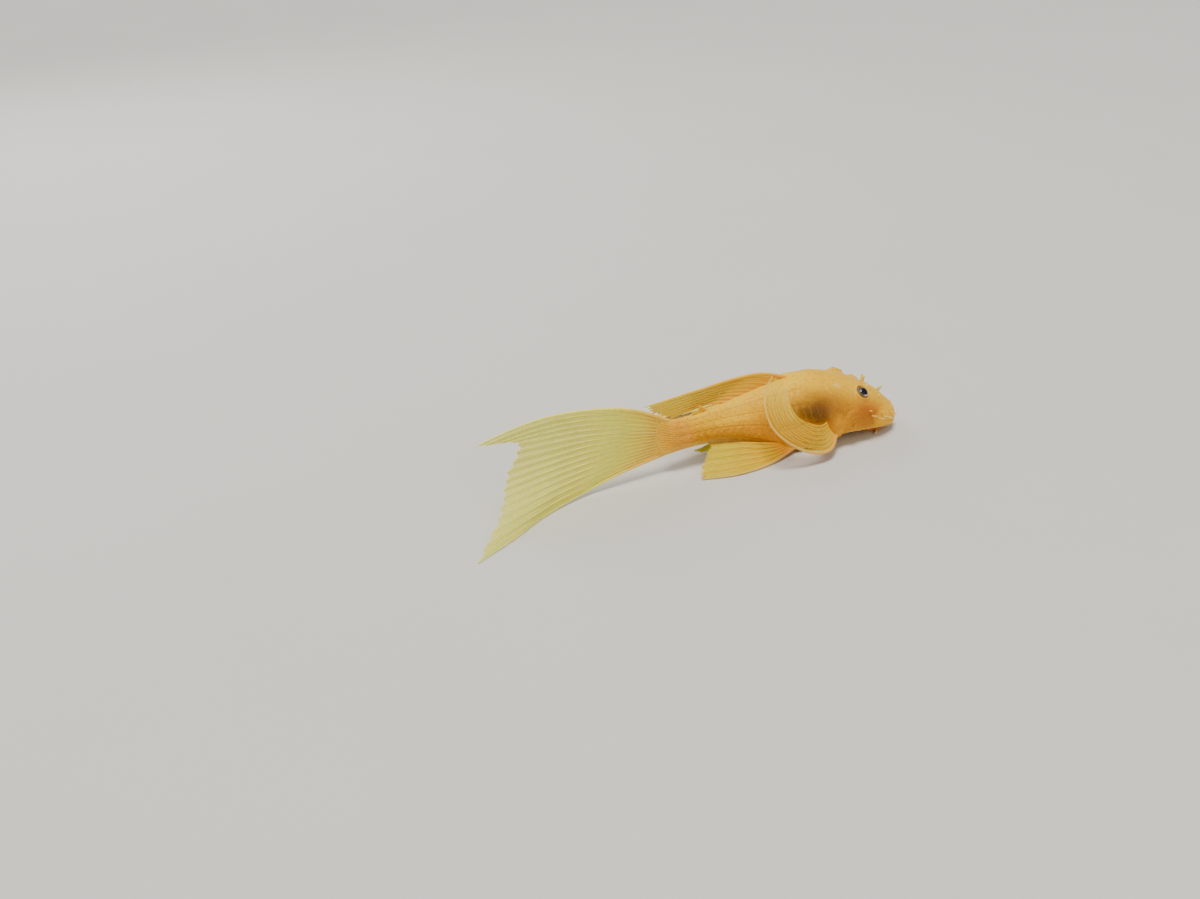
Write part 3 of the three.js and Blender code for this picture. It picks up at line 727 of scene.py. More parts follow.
def sheet_normal(guides, across, along):
    sideways = sheet(guides, across + NORMAL_STEP, along) - sheet(guides, across - NORMAL_STEP, along)
    onward = sheet(guides, across, along + NORMAL_STEP) - sheet(guides, across, along - NORMAL_STEP)
    normal = np.cross(sideways, onward)
    return normal / np.maximum(np.linalg.norm(normal, axis=-1, keepdims=True), 1e-9)


def back_top(station):
    return on_body(station, 0, profile(np.float64(station), 2) - ROOT_SUNK)


def belly_low(station):
    return on_body(station, 0, profile(np.float64(station), 3) + ROOT_SUNK)


print("back at the dorsal fin's start:", back_top(24.5).round(1))

# %% [markdown]
# ## The guide rays of each fin
#
# The dorsal fin is folded back and leans to the far side. The tail fin is a lyre whose lower lobe
# lies on the floor. The right pectoral fin curls up round the flank, and the left one is spread.

# %% Guide rays
PECTORAL_SUNK = 1.2


def tail_root(share):
    return on_body(TAIL_ROOT, 0, between(TAIL_TOP, TAIL_BOTTOM, share))


def pectoral_root(side, share):
    turn = side_turn(side, between(-13, 8, share))
    return skin_points(between(17.0, 19.4, share), turn, -PECTORAL_SUNK)


def pelvic_root(side, share):
    turn = side_turn(side, between(-34, -22, share))
    return skin_points(between(26.6, 29.4, share), turn, -ROOT_SUNK)


def body_points(*places):
    return [on_body(*place) for place in places]


def pelvic_guides(side, spread):
    def out(x, y, z):
        return np.array([x, side * (y + spread * float(smooth(4, 27, -x))), z])

    return [
        [pelvic_root(side, 0), out(-12, 9.2, 0.4), out(-20, 9.9, 0.3), out(-27.6, 8.0, 0.2)],
        [pelvic_root(side, 0.5), out(-12.5, 7.4, 1.9), out(-19.5, 7.2, 2.3), out(-26.2, 6.2, 2.6)],
        [pelvic_root(side, 1), out(-12, 6.1, 3.6), out(-17, 5.2, 4.6), out(-23.6, 4.5, 5.4)],
    ]


GUIDES = {
    "dorsal_fin": [
        [back_top(24.5), *body_points((31.4, 0.2, 13.3), (38, 0.7, 13.3), (45, 1.6, 12.2), (58, 3.4, 10.0))],
        [back_top(31.5), *body_points((38, 0.6, 11.2), (45, 1.7, 10.2), (55.6, 3.2, 8.2))],
        [back_top(38.5), *body_points((42.5, 1.1, 8.9), (47, 2.1, 7.9), (51.8, 2.8, 6.6))],
    ],
    "adipose_fin": [
        [back_top(44.6), *body_points((46.4, -0.1, 9.2), (48.2, -0.3, 9.9))],
        [back_top(48), *body_points((48.4, -0.1, 8.5), (49, -0.3, 9.1))],
    ],
    "anal_fin": [
        [belly_low(38.5), *body_points((43, 0.3, -0.9), (50, 0.7, -1.3))],
        [belly_low(41.6), *body_points((45.5, 0.3, -0.2), (50.6, 0.7, -0.4))],
    ],
    "caudal_fin": [
        [tail_root(0), (-38.5, -1.4, 15.0), (-47.7, -1.9, 17.4), (-58.5, -2.0, 18.1), (-66.7, -2.0, 16.9),
         (-72.4, -2.0, 15.4)],
        [tail_root(0.25), (-47.5, -1.9, 13.4), (-64.4, -2.5, 14.4)],
        [tail_root(0.5), (-47.5, -2.0, 9.4), (-67.2, -3.8, 8.8)],
        [tail_root(0.75), (-48, -2.2, 5.2), (-70.4, -7.6, 4.2)],
        [tail_root(1), (-41.5, -1.7, 2.7), (-50, -2.6, 1.1), (-60.5, -6.3, 0.3), (-69.4, -11.7, 0.3),
         (-78.6, -16.4, 0.2)],
    ],
    "pectoral_fin_right": [
        [pectoral_root(-1, 0), *body_points((23, -13.2, -0.2), (28.6, -13.6, 0.8), (33.9, -12.9, 4.0),
                                            (36.5, -11, 7.0), (36.4, -8.2, 10.6), (33.8, -5.2, 12.9),
                                            (30.8, -3.0, 13.9))],
        [pectoral_root(-1, 0.5), *body_points((25, -12.6, 2.4), (30.5, -12, 5.2), (32.4, -9.4, 9.0),
                                              (29.6, -5.8, 12.2))],
        [pectoral_root(-1, 1), *body_points((24.5, -11.0, 4.6), (29, -10.4, 7.0), (30.6, -8.6, 9.4))],
    ],
    "pectoral_fin_left": [
        [pectoral_root(1, 0), (0.5, 15.0, 1.4), (-10, 20.2, 0.4), (-21, 23.6, 0.2)],
        [pectoral_root(1, 0.5), (-3, 13.8, 3.4), (-12.5, 17.0, 3.0), (-23.5, 19, 1.8)],
        [pectoral_root(1, 1), (-3, 11.4, 5.2), (-10, 12.4, 5.4), (-17.5, 12.6, 4.4)],
    ],
    "pelvic_fin_right": pelvic_guides(-1, 0),
    "pelvic_fin_left": pelvic_guides(1, 4),
}
for name, guides in GUIDES.items():
    print(name, "first ray in mm:", round(float(walked_along(spline(guides[0]))[-1]), 1))

# %% [markdown]
# ## Membranes
#
# The membrane is thinnest between the rays and at the margin, and thick at the root, where it
# grows out of the skin. Each point remembers how far along the fin it lies and how far from a
# ray, for the finish to colour it.

# %% Make the membranes
FIN_RAYS = {"dorsal_fin": 8, "adipose_fin": 2, "anal_fin": 5, "caudal_fin": 16,
            "pectoral_fin_right": 7, "pectoral_fin_left": 7, "pelvic_fin_right": 6, "pelvic_fin_left": 6}
MEMBRANE_ROWS, COLUMNS_A_RAY = 60, 10
MEMBRANE_HALF, MEMBRANE_ROOT, MEMBRANE_EDGE = 0.08, 0.42, 0.05
NOTCH, FRAYING, WEAR = 0.6, 0.12, 0.7
PLEAT = 0.1
ANAL_REACH = 0.66


def margin(name, across):
    """How far along its guides the membrane reaches, with a notch between rays and uneven wear."""
    rays = FIN_RAYS[name]
    random = np.random.default_rng(len(name) + rays)
    length = walked_along(spline(GUIDES[name][1]))[-1]
    tips = 1 - random.uniform(0, WEAR, rays) / length
    place = np.asarray(across) * (rays - 1)
    reach = np.interp(place, np.arange(rays), tips)
    frayed = FRAYING * np.sin(place * 23) * np.sin(place * 7.3)
    reach = reach - (NOTCH * np.abs(np.sin(math.pi * place)) ** 1.5 + np.maximum(frayed, 0)) / length
    return reach * (ANAL_REACH if name == "anal_fin" else 1.0)


def fin_surface(name, across, along):
    """The fin's middle surface with its pleats, and its direction outwards."""
    guides, rays = GUIDES[name], FIN_RAYS[name]
    across, along = np.broadcast_arrays(np.asarray(across, float), np.asarray(along, float))
    normal = sheet_normal(guides, across, along)
    pleat = PLEAT * np.sin(2 * math.pi * across * (rays - 1)) * smooth(0.05, 0.3, along)
    return sheet(guides, across, along) + normal * pleat[..., None], normal


def membrane(name):
    """Two faces of one sheet, a little apart, joined by a strip that walks once round the rim."""
    rays = FIN_RAYS[name]
    across = np.linspace(0, 1, (rays - 1) * COLUMNS_A_RAY + 1)
    share = np.linspace(0, 1, MEMBRANE_ROWS)[:, None] ** 0.9
    along = share * margin(name, across)[None]
    columns, count = along.shape[1], along.size
    grid_across = np.broadcast_to(across, along.shape)
    middle, normal = fin_surface(name, grid_across, along)
    from_ray = np.abs(np.sin(math.pi * grid_across * (rays - 1)))
    half = between(MEMBRANE_ROOT, MEMBRANE_HALF, smooth(0, 0.14, along))
    half = between(half, MEMBRANE_EDGE, smooth(0.75, 1, share)) * (1 - 0.25 * from_ray)
    half = half * np.where(np.isin(np.arange(columns), (0, columns - 1)), 0.5, 1.0)
    apart = normal * half[..., None]
    points = np.concatenate([(middle + apart).reshape(-1, 3), (middle - apart).reshape(-1, 3)])
    points[:, 2] = np.maximum(points[:, 2], 0)
    faces = grid_faces(MEMBRANE_ROWS, columns)
    faces += [tuple(count + corner for corner in reversed(face)) for face in faces]
    rim = [*range(columns), *range(2 * columns - 1, count, columns),
           *range(count - 2, count - columns - 1, -1), *range(count - 2 * columns, 0, -columns)]
    faces += [(rim[k], rim[k - 1], count + rim[k - 1], count + rim[k]) for k in range(len(rim))]
    values = {"along": np.tile(along.ravel(), 2), "from_ray": np.tile(from_ray.ravel(), 2)}
    return new_piece(name + "_membrane", points, faces, values)


membranes = {name: membrane(name) for name in FIN_RAYS}
print("membranes:", sum(triangles(piece) for piece in membranes.values()), "triangles")

# %% [markdown]
# ## A Geometry Nodes tree for rods along curves
#
# Fin rays, tentacles, barbels and spines are all thin tapering rods. Each is a chain of points
# with its own thickness. Skinning them by hand would repeat the same code, so one node tree
# turns every chain into a curve and sweeps a circle along it. The tree ends in Realize Instances
# and Set Material, and its result is kept as a plain mesh.

# %% The tree for rods
def new_tree(name, inputs):
    tree = bpy.data.node_groups.new(name, "GeometryNodeTree")
    tree.interface.new_socket(name="Geometry", in_out="INPUT", socket_type="NodeSocketGeometry")
    for label, kind in inputs:
        tree.interface.new_socket(name=label, in_out="INPUT", socket_type=kind)
    tree.interface.new_socket(name="Geometry", in_out="OUTPUT", socket_type="NodeSocketGeometry")
    return tree


def tree_node(tree, kind, settings=None, sockets=None):
    """Adds a node; sockets are named by label, or by identifier where labels repeat."""
    node = tree.nodes.new(kind)
    for key, value in (settings or {}).items():
        setattr(node, key, value)
    for key, value in (sockets or {}).items():
        target = next(socket for socket in node.inputs if key in (socket.identifier, socket.name))
        if isinstance(value, bpy.types.NodeSocket):
            tree.links.new(value, target)
        else:
            target.default_value = value
    return node


def named_value(tree, kind, name):
    return tree_node(tree, "GeometryNodeInputNamedAttribute", {"data_type": kind}, {"Name": name})


def painted_output(tree, geometry, material):
    """Ends a tree: its instances become real, take their material and leave by the output."""
    real = tree_node(tree, "GeometryNodeRealizeInstances", None, {"Geometry": geometry})
    painted = tree_node(tree, "GeometryNodeSetMaterial", None,
                        {"Geometry": real.outputs[0], "Material": material})
    out = tree_node(tree, "NodeGroupOutput")
    tree.links.new(painted.outputs[0], out.inputs[0])
    return tree


def rods_tree():
    tree = new_tree("rods_along_curves", [("Sides", "NodeSocketInt"), ("Material", "NodeSocketMaterial")])
    given = tree_node(tree, "NodeGroupInput")
    curve = tree_node(tree, "GeometryNodeMeshToCurve", None, {"Mesh": given.outputs["Geometry"]})
    thickness = named_value(tree, "FLOAT", "thickness")
    circle = tree_node(tree, "GeometryNodeCurvePrimitiveCircle", None,
                       {"Resolution": given.outputs["Sides"], "Radius": 1.0})
    swept = tree_node(tree, "GeometryNodeCurveToMesh", None, {
        "Curve": curve.outputs[0], "Profile Curve": circle.outputs[0],
        "Scale": thickness.outputs[0], "Fill Caps": True})
    smooth_rods = tree_node(tree, "GeometryNodeSetShadeSmooth", None, {"Geometry": swept.outputs[0]})
    return painted_output(tree, smooth_rods.outputs[0], given.outputs["Material"])


def run_tree(piece, tree, inputs, name):
    """Applies a node tree to a piece and keeps only the result, as a plain mesh of that name."""
    modifier = piece.modifiers.new("nodes", "NODES")
    modifier.node_group = tree
    for socket in tree.interface.items_tree:
        if socket.item_type == "SOCKET" and socket.in_out == "INPUT" and socket.name in inputs:
            modifier[socket.identifier] = inputs[socket.name]
    made = bpy.data.meshes.new_from_object(piece.evaluated_get(bpy.context.evaluated_depsgraph_get()))
    bpy.data.objects.remove(piece)
    made.name = name
    result = bpy.data.objects.new(name, made)
    bpy.context.scene.collection.objects.link(result)
    return result


RODS = rods_tree()


def rods(name, chains, sides, material):
    """chains: for each rod, its points in mm, the thickness at each, and values for the finish."""
    points, thickness, share = (np.concatenate(column) for column in zip(*chains))
    edges, start = [], 0
    for chain in chains:
        edges += [(start + k, start + k + 1) for k in range(len(chain[0]) - 1)]
        start += len(chain[0])
    lines = new_piece(name + "_lines", points, [], {"thickness": thickness * MM, "along": share}, edges)
    made = run_tree(lines, RODS, {"Sides": sides, "Material": material}, name)
    places = np.zeros(len(made.data.vertices) * 3)
    made.data.vertices.foreach_get("co", places)
    places[2::3] = np.maximum(places[2::3], 0)
    made.data.vertices.foreach_set("co", places)
    if signed_volume(made.data) < 0:
        made.data.flip_normals()
    return made


print("rod tree has", len(RODS.nodes), "nodes")

# %% [markdown]
# ## The finish of the skin
#
# The fish is golden, yellower on the snout margin and the back, more orange on the flanks, with
# reddish cheeks, a brown patch where the gut shows through the side, darkened further as painted
# shade under the pectoral fin, and an orange band at the tail base. Painted light is added too: a
# painted highlight along the top of the back, a pale painted highlight behind each eye, paler
# painted highlights on the rear edges of the plates and the ridges of the tail base, painted shade
# in the deep hollows, and a yellow on the tail stalk's flank that is partly its own and partly
# painted light thrown up from the floor. The skin's own stations and angles place each zone,
# and noise breaks every border. Light enters the skin a little, as in flesh.

# %% Paint the skin
def skin_finish():
    finish = Finish("golden_skin")
    station, degrees = finish.attribute("station"), finish.attribute("degrees")
    near_side, rear = finish.attribute("near_side"), finish.attribute("rear_edge_highlight")
    seam, hollow_shade = finish.attribute("row_seam"), finish.attribute("hollow_shade")
    cloud, grain = finish.noise(0.22, 4.0), finish.noise(1.6, 3.0, 0.6)
    drift = cloud - 0.5
    warped, leaning = station + drift * 5, degrees + drift * 22
    flank, upper_flank = leaning.rising(-42, -12), leaning.rising(14, 66)
    # The stalk's flank is yellower in its own colour, and brightened further as painted light thrown up from
    # the floor.
    stalk_and_floor_light = warped.near(41, 12) * leaning.near(30, 32)
    crown = (1 - warped.rising(12.5, 17.5)) * leaning.rising(18, 50)
    cheek = warped.near(10.6, 7.4) * leaning.near(14, 42)
    snout = 8.4 - leaning.rising(0, 80) * 6.8 - station - drift * 3
    snout = snout.rising(-1.0, 1.8) * degrees.rising(-40, -8)
    # The gut shows through the side as brown, and the patch is darkened further as painted shade under the
    # pectoral fin.
    gut_and_shade = warped.near(21.4, 9.5) * leaning.near(28, 36)
    gut_core_and_shade = (station + drift * 7).near(24.2, 6.6) * leaning.near(24, 24) * near_side
    # Painted highlight: the top of the back is painted lighter, as if lit from above.
    back = leaning.rising(60, 74) * warped.rising(19, 24)
    blush = warped.rising(48.8, 51.4) * (1 - warped.rising(52.4, 55.6))
    tail_base = warped.rising(52.4, 57.0)
    # Painted highlight: a pale spot behind each eye.
    highlight_spot = station.near(16.6, 1.5) * degrees.near(60, 7)
    veins = 1 - finish.cells(1.15, "DISTANCE_TO_EDGE", 0.6).rising(0.0, 0.2)
    veins = veins * (warped.near(18, 9.5) * leaning.rising(-5, 12) * cloud.rising(0.3, 0.6))
    speckle = finish.noise(3.2, 2.0).rising(0.6, 0.78)
    paint = finish.painted(
        "#f0c050",
        (flank, "#e49a00"),
        (upper_flank, "#eeb60c"),
        # Own yellow of the stalk, partly painted light thrown up from the floor.
        (stalk_and_floor_light * 0.85, "#ffc800"),
        (crown * 0.75, "#e8b01c"),
        (cheek * 0.8, "#a8581a"),
        (snout * 0.94, "#f8b600"),
        # Brown of the gut showing through, darkened further as painted shade, darkest at its core.
        (gut_and_shade * (near_side * 0.56 + 0.36), "#7c4a18"),
        (gut_core_and_shade * 0.72, "#3c2a14"),
        # Painted highlight along the top of the back.
        (back * 0.6, "#fcd02c"),
        (blush * 0.7, "#f0a430"),
        (tail_base, "#f6bc34"),
        # Painted highlight behind each eye.
        (highlight_spot * 0.6, "#f3cf78"),
        (veins * 0.2, "#9c560f"),
        (speckle * 0.3, "#f6bc20"),
        ((1 - grain.rising(0.3, 0.52)) * 0.3, "#a0560c"),
        # Painted highlight on the rear edges of the plates and the tail-base ridges.
        (rear.rising(0.25, 0.95) * 0.16, "#f8cc38"),
        (seam.rising(0.3, 1) * 0.2, "#a85a10"),
        # Painted shade in the deep hollows.
        (hollow_shade.rising(0.15, 0.8) * 0.75, "#4a2008"))
    granules = 1 - finish.cells(2.8).rising(0.1, 0.62)
    height = grain * 0.4 + granules * leaning.rising(-30, 0) * 0.4 - veins * 0.15
    finish.surface({
        "Base Color": paint, "Roughness": 0.36 + cloud * 0.14 + grain * 0.1,
        "Normal": finish.bump(height, 0.07), "Specular IOR Level": 0.16,
        "Subsurface Weight": 0.22, "Subsurface Radius": (1.0, 0.4, 0.1), "Subsurface Scale": 0.0012,
        "Coat Weight": 0.03 + grain * 0.07, "Coat Roughness": 0.18, "IOR": 1.4})
    return finish.material


SKIN_FINISH = skin_finish()
print("skin finish has", len(SKIN_FINISH.node_tree.nodes), "nodes")

# %% [markdown]
# ## The finish of membranes and rays
#
# A membrane is pale yellow and lets light through, most of all near its margin, and is warmer at
# its root. Alpha is simpler than real transmission for a sheet this thin and keeps it free of
# noise. The rays are solid and a little paler towards their tips. Tentacles, lips and bristles
# share a third finish, for soft flesh.

# %% Paint the fins
def membrane_finish(name, root, middle, tip, clearness):
    finish = Finish(name)
    along, from_ray = finish.attribute("along"), finish.attribute("from_ray")
    cloud, grain = finish.noise(0.35, 3.0), finish.noise(2.2, 3.0)
    warped = along + (cloud - 0.5) * 0.25
    paint = finish.painted(root, (warped.rising(0.02, 0.4), middle), (warped.rising(0.35, 0.95), tip),
                           (grain.rising(0.5, 0.7) * 0.3, "#c8a428"))
    clear = warped.rising(0.04, 0.5) * (from_ray * 0.25 + 0.95) * clearness
    finish.surface({
        "Base Color": paint, "Roughness": 0.42 + grain * 0.15, "Alpha": 0.94 - clear + grain * 0.06,
        "Normal": finish.bump(grain, 0.05), "Specular IOR Level": 0.3, "Subsurface Weight": 0.75,
        "Subsurface Radius": (1.0, 0.8, 0.35), "Subsurface Scale": 0.0008})
    return finish.material


def ray_finish(name, root, middle, tip):
    finish = Finish(name)
    along, grain = finish.attribute("along"), finish.noise(1.4, 3.0)
    dullness = finish.noise(1.1, 2.0, 0.6)
    paint = finish.painted(root, (along.rising(0.02, 0.4), middle), (along.rising(0.4, 0.95), tip),
                           (grain.rising(0.45, 0.7) * 0.3, "#c49c2c"))
    finish.surface({
        "Base Color": paint, "Roughness": 0.38 + dullness * 0.18, "Normal": finish.bump(grain, 0.07),
        "Specular IOR Level": 0.32, "Subsurface Weight": 0.25, "Subsurface Radius": (1.0, 0.7, 0.3),
        "Subsurface Scale": 0.0006, "Coat Weight": 0.1})
    return finish.material


def flesh_finish(name, root, tip, bumps):
    finish = Finish(name)
    along, grain = finish.attribute("along"), finish.noise(1.7, 3.0)
    paint = finish.painted(root, (along.rising(0.1, 0.9), tip), (grain.rising(0.45, 0.7) * 0.35, "#bd7c2c"))
    finish.surface({
        "Base Color": paint, "Roughness": 0.38 + grain * 0.14, "Normal": finish.bump(grain, bumps),
        "Specular IOR Level": 0.35, "Subsurface Weight": 0.3, "Subsurface Radius": (1.0, 0.5, 0.25),
        "Subsurface Scale": 0.001, "Coat Weight": 0.15})
    return finish.material


WARM_MEMBRANE = membrane_finish("warm_membrane", "#ffb400", "#ffbe00", "#fccc10", 0.14)
CLEAR_MEMBRANE = membrane_finish("clear_membrane", "#f4b818", "#eec420", "#e8cc40", 0.74)
TAIL_MEMBRANE = membrane_finish("tail_membrane", "#f4b430", "#fff04c", "#fff46c", 0.26)
MEMBRANE_FINISHES = {"caudal_fin": TAIL_MEMBRANE, "anal_fin": TAIL_MEMBRANE,
                     "pectoral_fin_left": TAIL_MEMBRANE, "pectoral_fin_right": CLEAR_MEMBRANE}
WARM_RAYS = ray_finish("warm_rays", "#faa800", "#fcbc00", "#fad020")
TAIL_RAYS = ray_finish("tail_rays", "#f6bc38", "#fff45c", "#fff87c")
SPINE_FINISH = ray_finish("leading_spines", "#e8a030", "#e8b850", "#e4c050")
TENTACLE_FINISH = flesh_finish("tentacles", "#e6a820", "#f2dc70", 0.05)
LIP_FINISH = flesh_finish("lips", "#d88c48", "#ecc080", 0.08)
BRISTLE_FINISH = flesh_finish("bristles", "#dd9a18", "#e8aa30", 0.02)
print("fin, tentacle and lip finishes made")

# %% [markdown]
# ## Fin rays
#
# The first ray of a pleco's fin is a stout spine, and each ray behind it splits twice on its way
# to the margin. Each ray here is a stem, two branches that start inside it, and four twigs. In
# the folded dorsal and anal fins the rays lie close together, so there each splits only once.
# They all follow the same sheet as the membrane, so they stay in it wherever the fin curls.

# %% Make the fin rays
# Each pair is a radius at the root and one at the tip.
STEM, BRANCH, TWIG, FOLDED_BRANCH = (0.3, 0.22), (0.18, 0.13), (0.12, 0.07), (0.21, 0.09)
SPINES = {"dorsal_fin": (0.42, 0.12), "caudal_fin": (0.42, 0.1), "anal_fin": (0.24, 0.09),
          "adipose_fin": (0.36, 0.1), "pectoral_fin_right": (0.46, 0.1), "pectoral_fin_left": (0.52, 0.14),
          "pelvic_fin_right": (0.42, 0.12), "pelvic_fin_left": (0.42, 0.12)}
SLIM_PECTORAL = 0.62
# Shares of a ray's length where it splits, and of the space between rays that it then takes.
FIRST_SPLIT, SECOND_SPLIT, FOLDED_SPLIT = 0.3, 0.6, 0.7
FIRST_SPREAD, SECOND_SPREAD, FOLDED_SPREAD = 0.26, 0.125, 0.2
SPLIT_OVERLAP, SPLIT_LENGTH = 0.02, 0.3
SPINE_SIDES, RAY_SIDES = 14, 7
SPINE_POINTS, STEM_POINTS, BRANCH_POINTS, FOLDED_POINTS = 44, 16, 14, 26


def ray_chain(name, across, splits, start, stop, sizes, count):
    along = np.linspace(start, stop, count)
    spread = sum(offset * smooth(where - SPLIT_OVERLAP, where + SPLIT_LENGTH, along)
                 for where, offset in splits)
    middle, _ = fin_surface(name, across + spread / (FIN_RAYS[name] - 1), along)
    share = (along - start) / (stop - start)
    return middle, between(*sizes, share ** 0.8), along


def branched_ray(name, across, reach):
    slim = SLIM_PECTORAL if name.startswith("pectoral") else 1.0
    stem, branch, twig = (tuple(slim * size for size in pair) for pair in (STEM, BRANCH, TWIG))
    chains = [ray_chain(name, across, [], 0, FIRST_SPLIT + SPLIT_OVERLAP, stem, STEM_POINTS)]
    for side in (-1, 1):
        if name in ("dorsal_fin", "anal_fin"):
            splits = [(FOLDED_SPLIT, side * FOLDED_SPREAD)]
            sizes = FOLDED_BRANCH, FOLDED_POINTS
            chains.append(ray_chain(name, across, splits, FIRST_SPLIT, reach, *sizes))
            continue
        splits = [(FIRST_SPLIT, side * FIRST_SPREAD)]
        stop = SECOND_SPLIT + SPLIT_OVERLAP
        chains.append(ray_chain(name, across, splits, FIRST_SPLIT, stop, branch, BRANCH_POINTS))
        for second in (-1, 1):
            more = [*splits, (SECOND_SPLIT, second * SECOND_SPREAD)]
            chains.append(ray_chain(name, across, more, SECOND_SPLIT, reach, twig, BRANCH_POINTS))
    return chains


def fin_rays(name):
    """The stout unbranched rays of a fin as one piece, and its branched ones as another."""
    count = FIN_RAYS[name]
    places = np.arange(count) / (count - 1)
    reaches = margin(name, np.linspace(0, 1, count))
    stout = (0, count - 1) if name in ("caudal_fin", "adipose_fin") else (0,)
    spines = [ray_chain(name, places[k], [], 0, reaches[k], SPINES[name], SPINE_POINTS) for k in stout]
    soft = [chain for k in range(count) if k not in stout
            for chain in branched_ray(name, places[k], reaches[k])]
    bone = TAIL_RAYS if name in ("caudal_fin", "anal_fin") else WARM_RAYS
    paired = name.startswith("pe")
    made = [rods(name + "_spines", spines, SPINE_SIDES, SPINE_FINISH if paired else bone)]
    if soft:
        made.append(rods(name + "_rays", soft, RAY_SIDES, bone))
    return made


fin_bones = {name: fin_rays(name) for name in FIN_RAYS}
print("fin rays:", sum(triangles(piece) for made in fin_bones.values() for piece in made), "triangles")

# %% [markdown]
# ## Tentacles, nostril flaps and cheek spines
#
# Soft tentacles stand along the margin of the snout and a few on top, short in a young or female
# fish. The two longest of the crown are forked. The rear of each gill cover carries a tuft of
# small hooked spines. All are rods that leave the skin straight and bend as they go.

# %% Make tentacles and spines
ROD_SUNK, ROD_POINTS, ROD_SIDES = 0.55, 20, 12
SNOUT_TENTACLES, SNOUT_RADIUS, SMALL_RADIUS = 6, 0.25, 0.22
# Station, degrees up the left flank, length, lean and radius of each tentacle on the crown.
CROWN_TENTACLES = [
    (6.1, 75, 1.6, (-0.3, 0.5, 1), 0.46),
    (4.3, 97, 1.4, (1.4, 0.3, 0.1), 0.46),
    (2.6, 60, 0.9, (0.6, 0.6, 0.6), 0.3),
    (2.4, 122, 0.7, (0.5, -0.6, 0.7), 0.26),
    (6.6, 128, 0.7, (0.1, -0.6, 0.8), 0.24),
    (6.9, 47, 0.7, (0.1, 0.6, 0.8), 0.24),
]
FORKED_LENGTH, FORK_LEAN = 1.3, (0.8, -0.5, 0.1)
SPINES_A_CHEEK, CHEEK_SPINE_SIDES = 15, 8


def seeded(seed):
    state = seed
    while True:
        state = state * 16807 % 2147483647
        yield state / 2147483647


def unit(x, y, z):
    direction = np.array([x, y, z], float)
    return direction / np.linalg.norm(direction)


def bent_rod(root, first, second, length, radius, slimming=0.45):
    """A rod with a round tip that leaves its root along first and ends along second."""
    share = np.sin(np.linspace(0, math.pi / 2, ROD_POINTS))
    whole = length + ROD_SUNK
    points = [root - first * ROD_SUNK]
    for here, there in zip(share, share[1:]):
        points.append(points[-1] + unit(*between(first, second, here)) * ((there - here) * whole))
    taper = radius * (1 - slimming * share)
    cap = 1 - (1 - share) * whole / taper[-1]
    return np.array(points), taper * np.sqrt(np.clip(1 - np.maximum(cap, 0) ** 2, 0.01, 1)), share


def snout_tentacles():
    random = seeded(41)
    chains = []
    for side in (-1, 1):
        for k in range(SNOUT_TENTACLES):
            share = k / (SNOUT_TENTACLES - 1)
            station = between(0.7, 9.3, share) + 0.3 * next(random)
            turn = side_turn(side, 2 + 8 * next(random))
            out = outward_at(station, turn)
            bend = unit(*(out + np.array([0.2 - 0.5 * next(random), 0, 0.5 * next(random) + 0.3])))
            length = between(0.7, 1.6, share) * (0.85 + 0.3 * next(random))
            chains.append(bent_rod(skin_points(station, turn), out, bend, length, SNOUT_RADIUS))
            if k % 2:
                place = station + 0.75, turn + side * math.radians(9)
                small = skin_points(*place)
                chains.append(bent_rod(small, outward_at(*place), bend, length * 0.5, SMALL_RADIUS))
    return chains


def crown_tentacles():
    chains = []
    for station, degrees, length, lean, radius in CROWN_TENTACLES:
        turn = math.radians(degrees)
        root, out = skin_points(station, turn), outward_at(station, turn)
        chains.append(bent_rod(root, out, unit(*lean), length, radius))
        if length > FORKED_LENGTH:
            fork = unit(*(np.array(lean) + np.array(FORK_LEAN)))
            chains.append(bent_rod(root + out * 0.2, out, fork, 0.74 * length, 0.75 * radius))
    return chains


def nostril_flaps():
    chains = []
    for side in (1, -1):
        turn = side_turn(side, NOSTRIL_DEGREES)
        out = outward_at(NOSTRIL_STATION, turn)
        for shift in (-1.4, 0, 1.4):
            root = skin_points(NOSTRIL_STATION + 0.62 - 0.08 * abs(shift), turn + math.radians(shift))
            ahead = out + np.array([0.9, 0, 0])
            chains.append(bent_rod(root, out, ahead, 0.75 - 0.12 * abs(shift), 0.26))
    return chains


def cheek_spines():
    random = seeded(11)
    chains = []
    for side in (-1, 1):
        for k in range(SPINES_A_CHEEK):
            turn = side_turn(side, between(16, -12, k / (SPINES_A_CHEEK - 1)))
            station = 13.3 + 0.4 * (k % 3) + 0.2 * next(random)
            root, out = skin_points(station, turn), outward_at(station, turn)
            back = unit(*(out * between(0.7, 1.3, next(random)) + np.array([-1.6, 0, 0.2])))
            chains.append(bent_rod(root, out, back, 0.8 + 0.5 * next(random), 0.1, slimming=0.75))
    return chains


soft_rods = snout_tentacles() + crown_tentacles() + nostril_flaps()
tentacles = rods("tentacles", soft_rods, ROD_SIDES, TENTACLE_FINISH)
cheeks = rods("cheek_spines", cheek_spines(), CHEEK_SPINE_SIDES, BRISTLE_FINISH)
print("tentacles and spines:", triangles(tentacles) + triangles(cheeks), "triangles")

# %% [markdown]
# ## Bristles on the plates
#
# Every plate carries rows of tiny tooth-like bristles along its rear edge, all pointing back.
# There are thousands, so a second node tree scatters cones on the skin where the rear edges are
# strongest and turns each one to lie back along the body.

# %% Scatter the bristles
BRISTLES_A_SQUARE_METRE = 6.0e6
BRISTLE_LENGTH, BRISTLE_RADIUS, BRISTLE_SIDES = 0.26, 0.045, 5


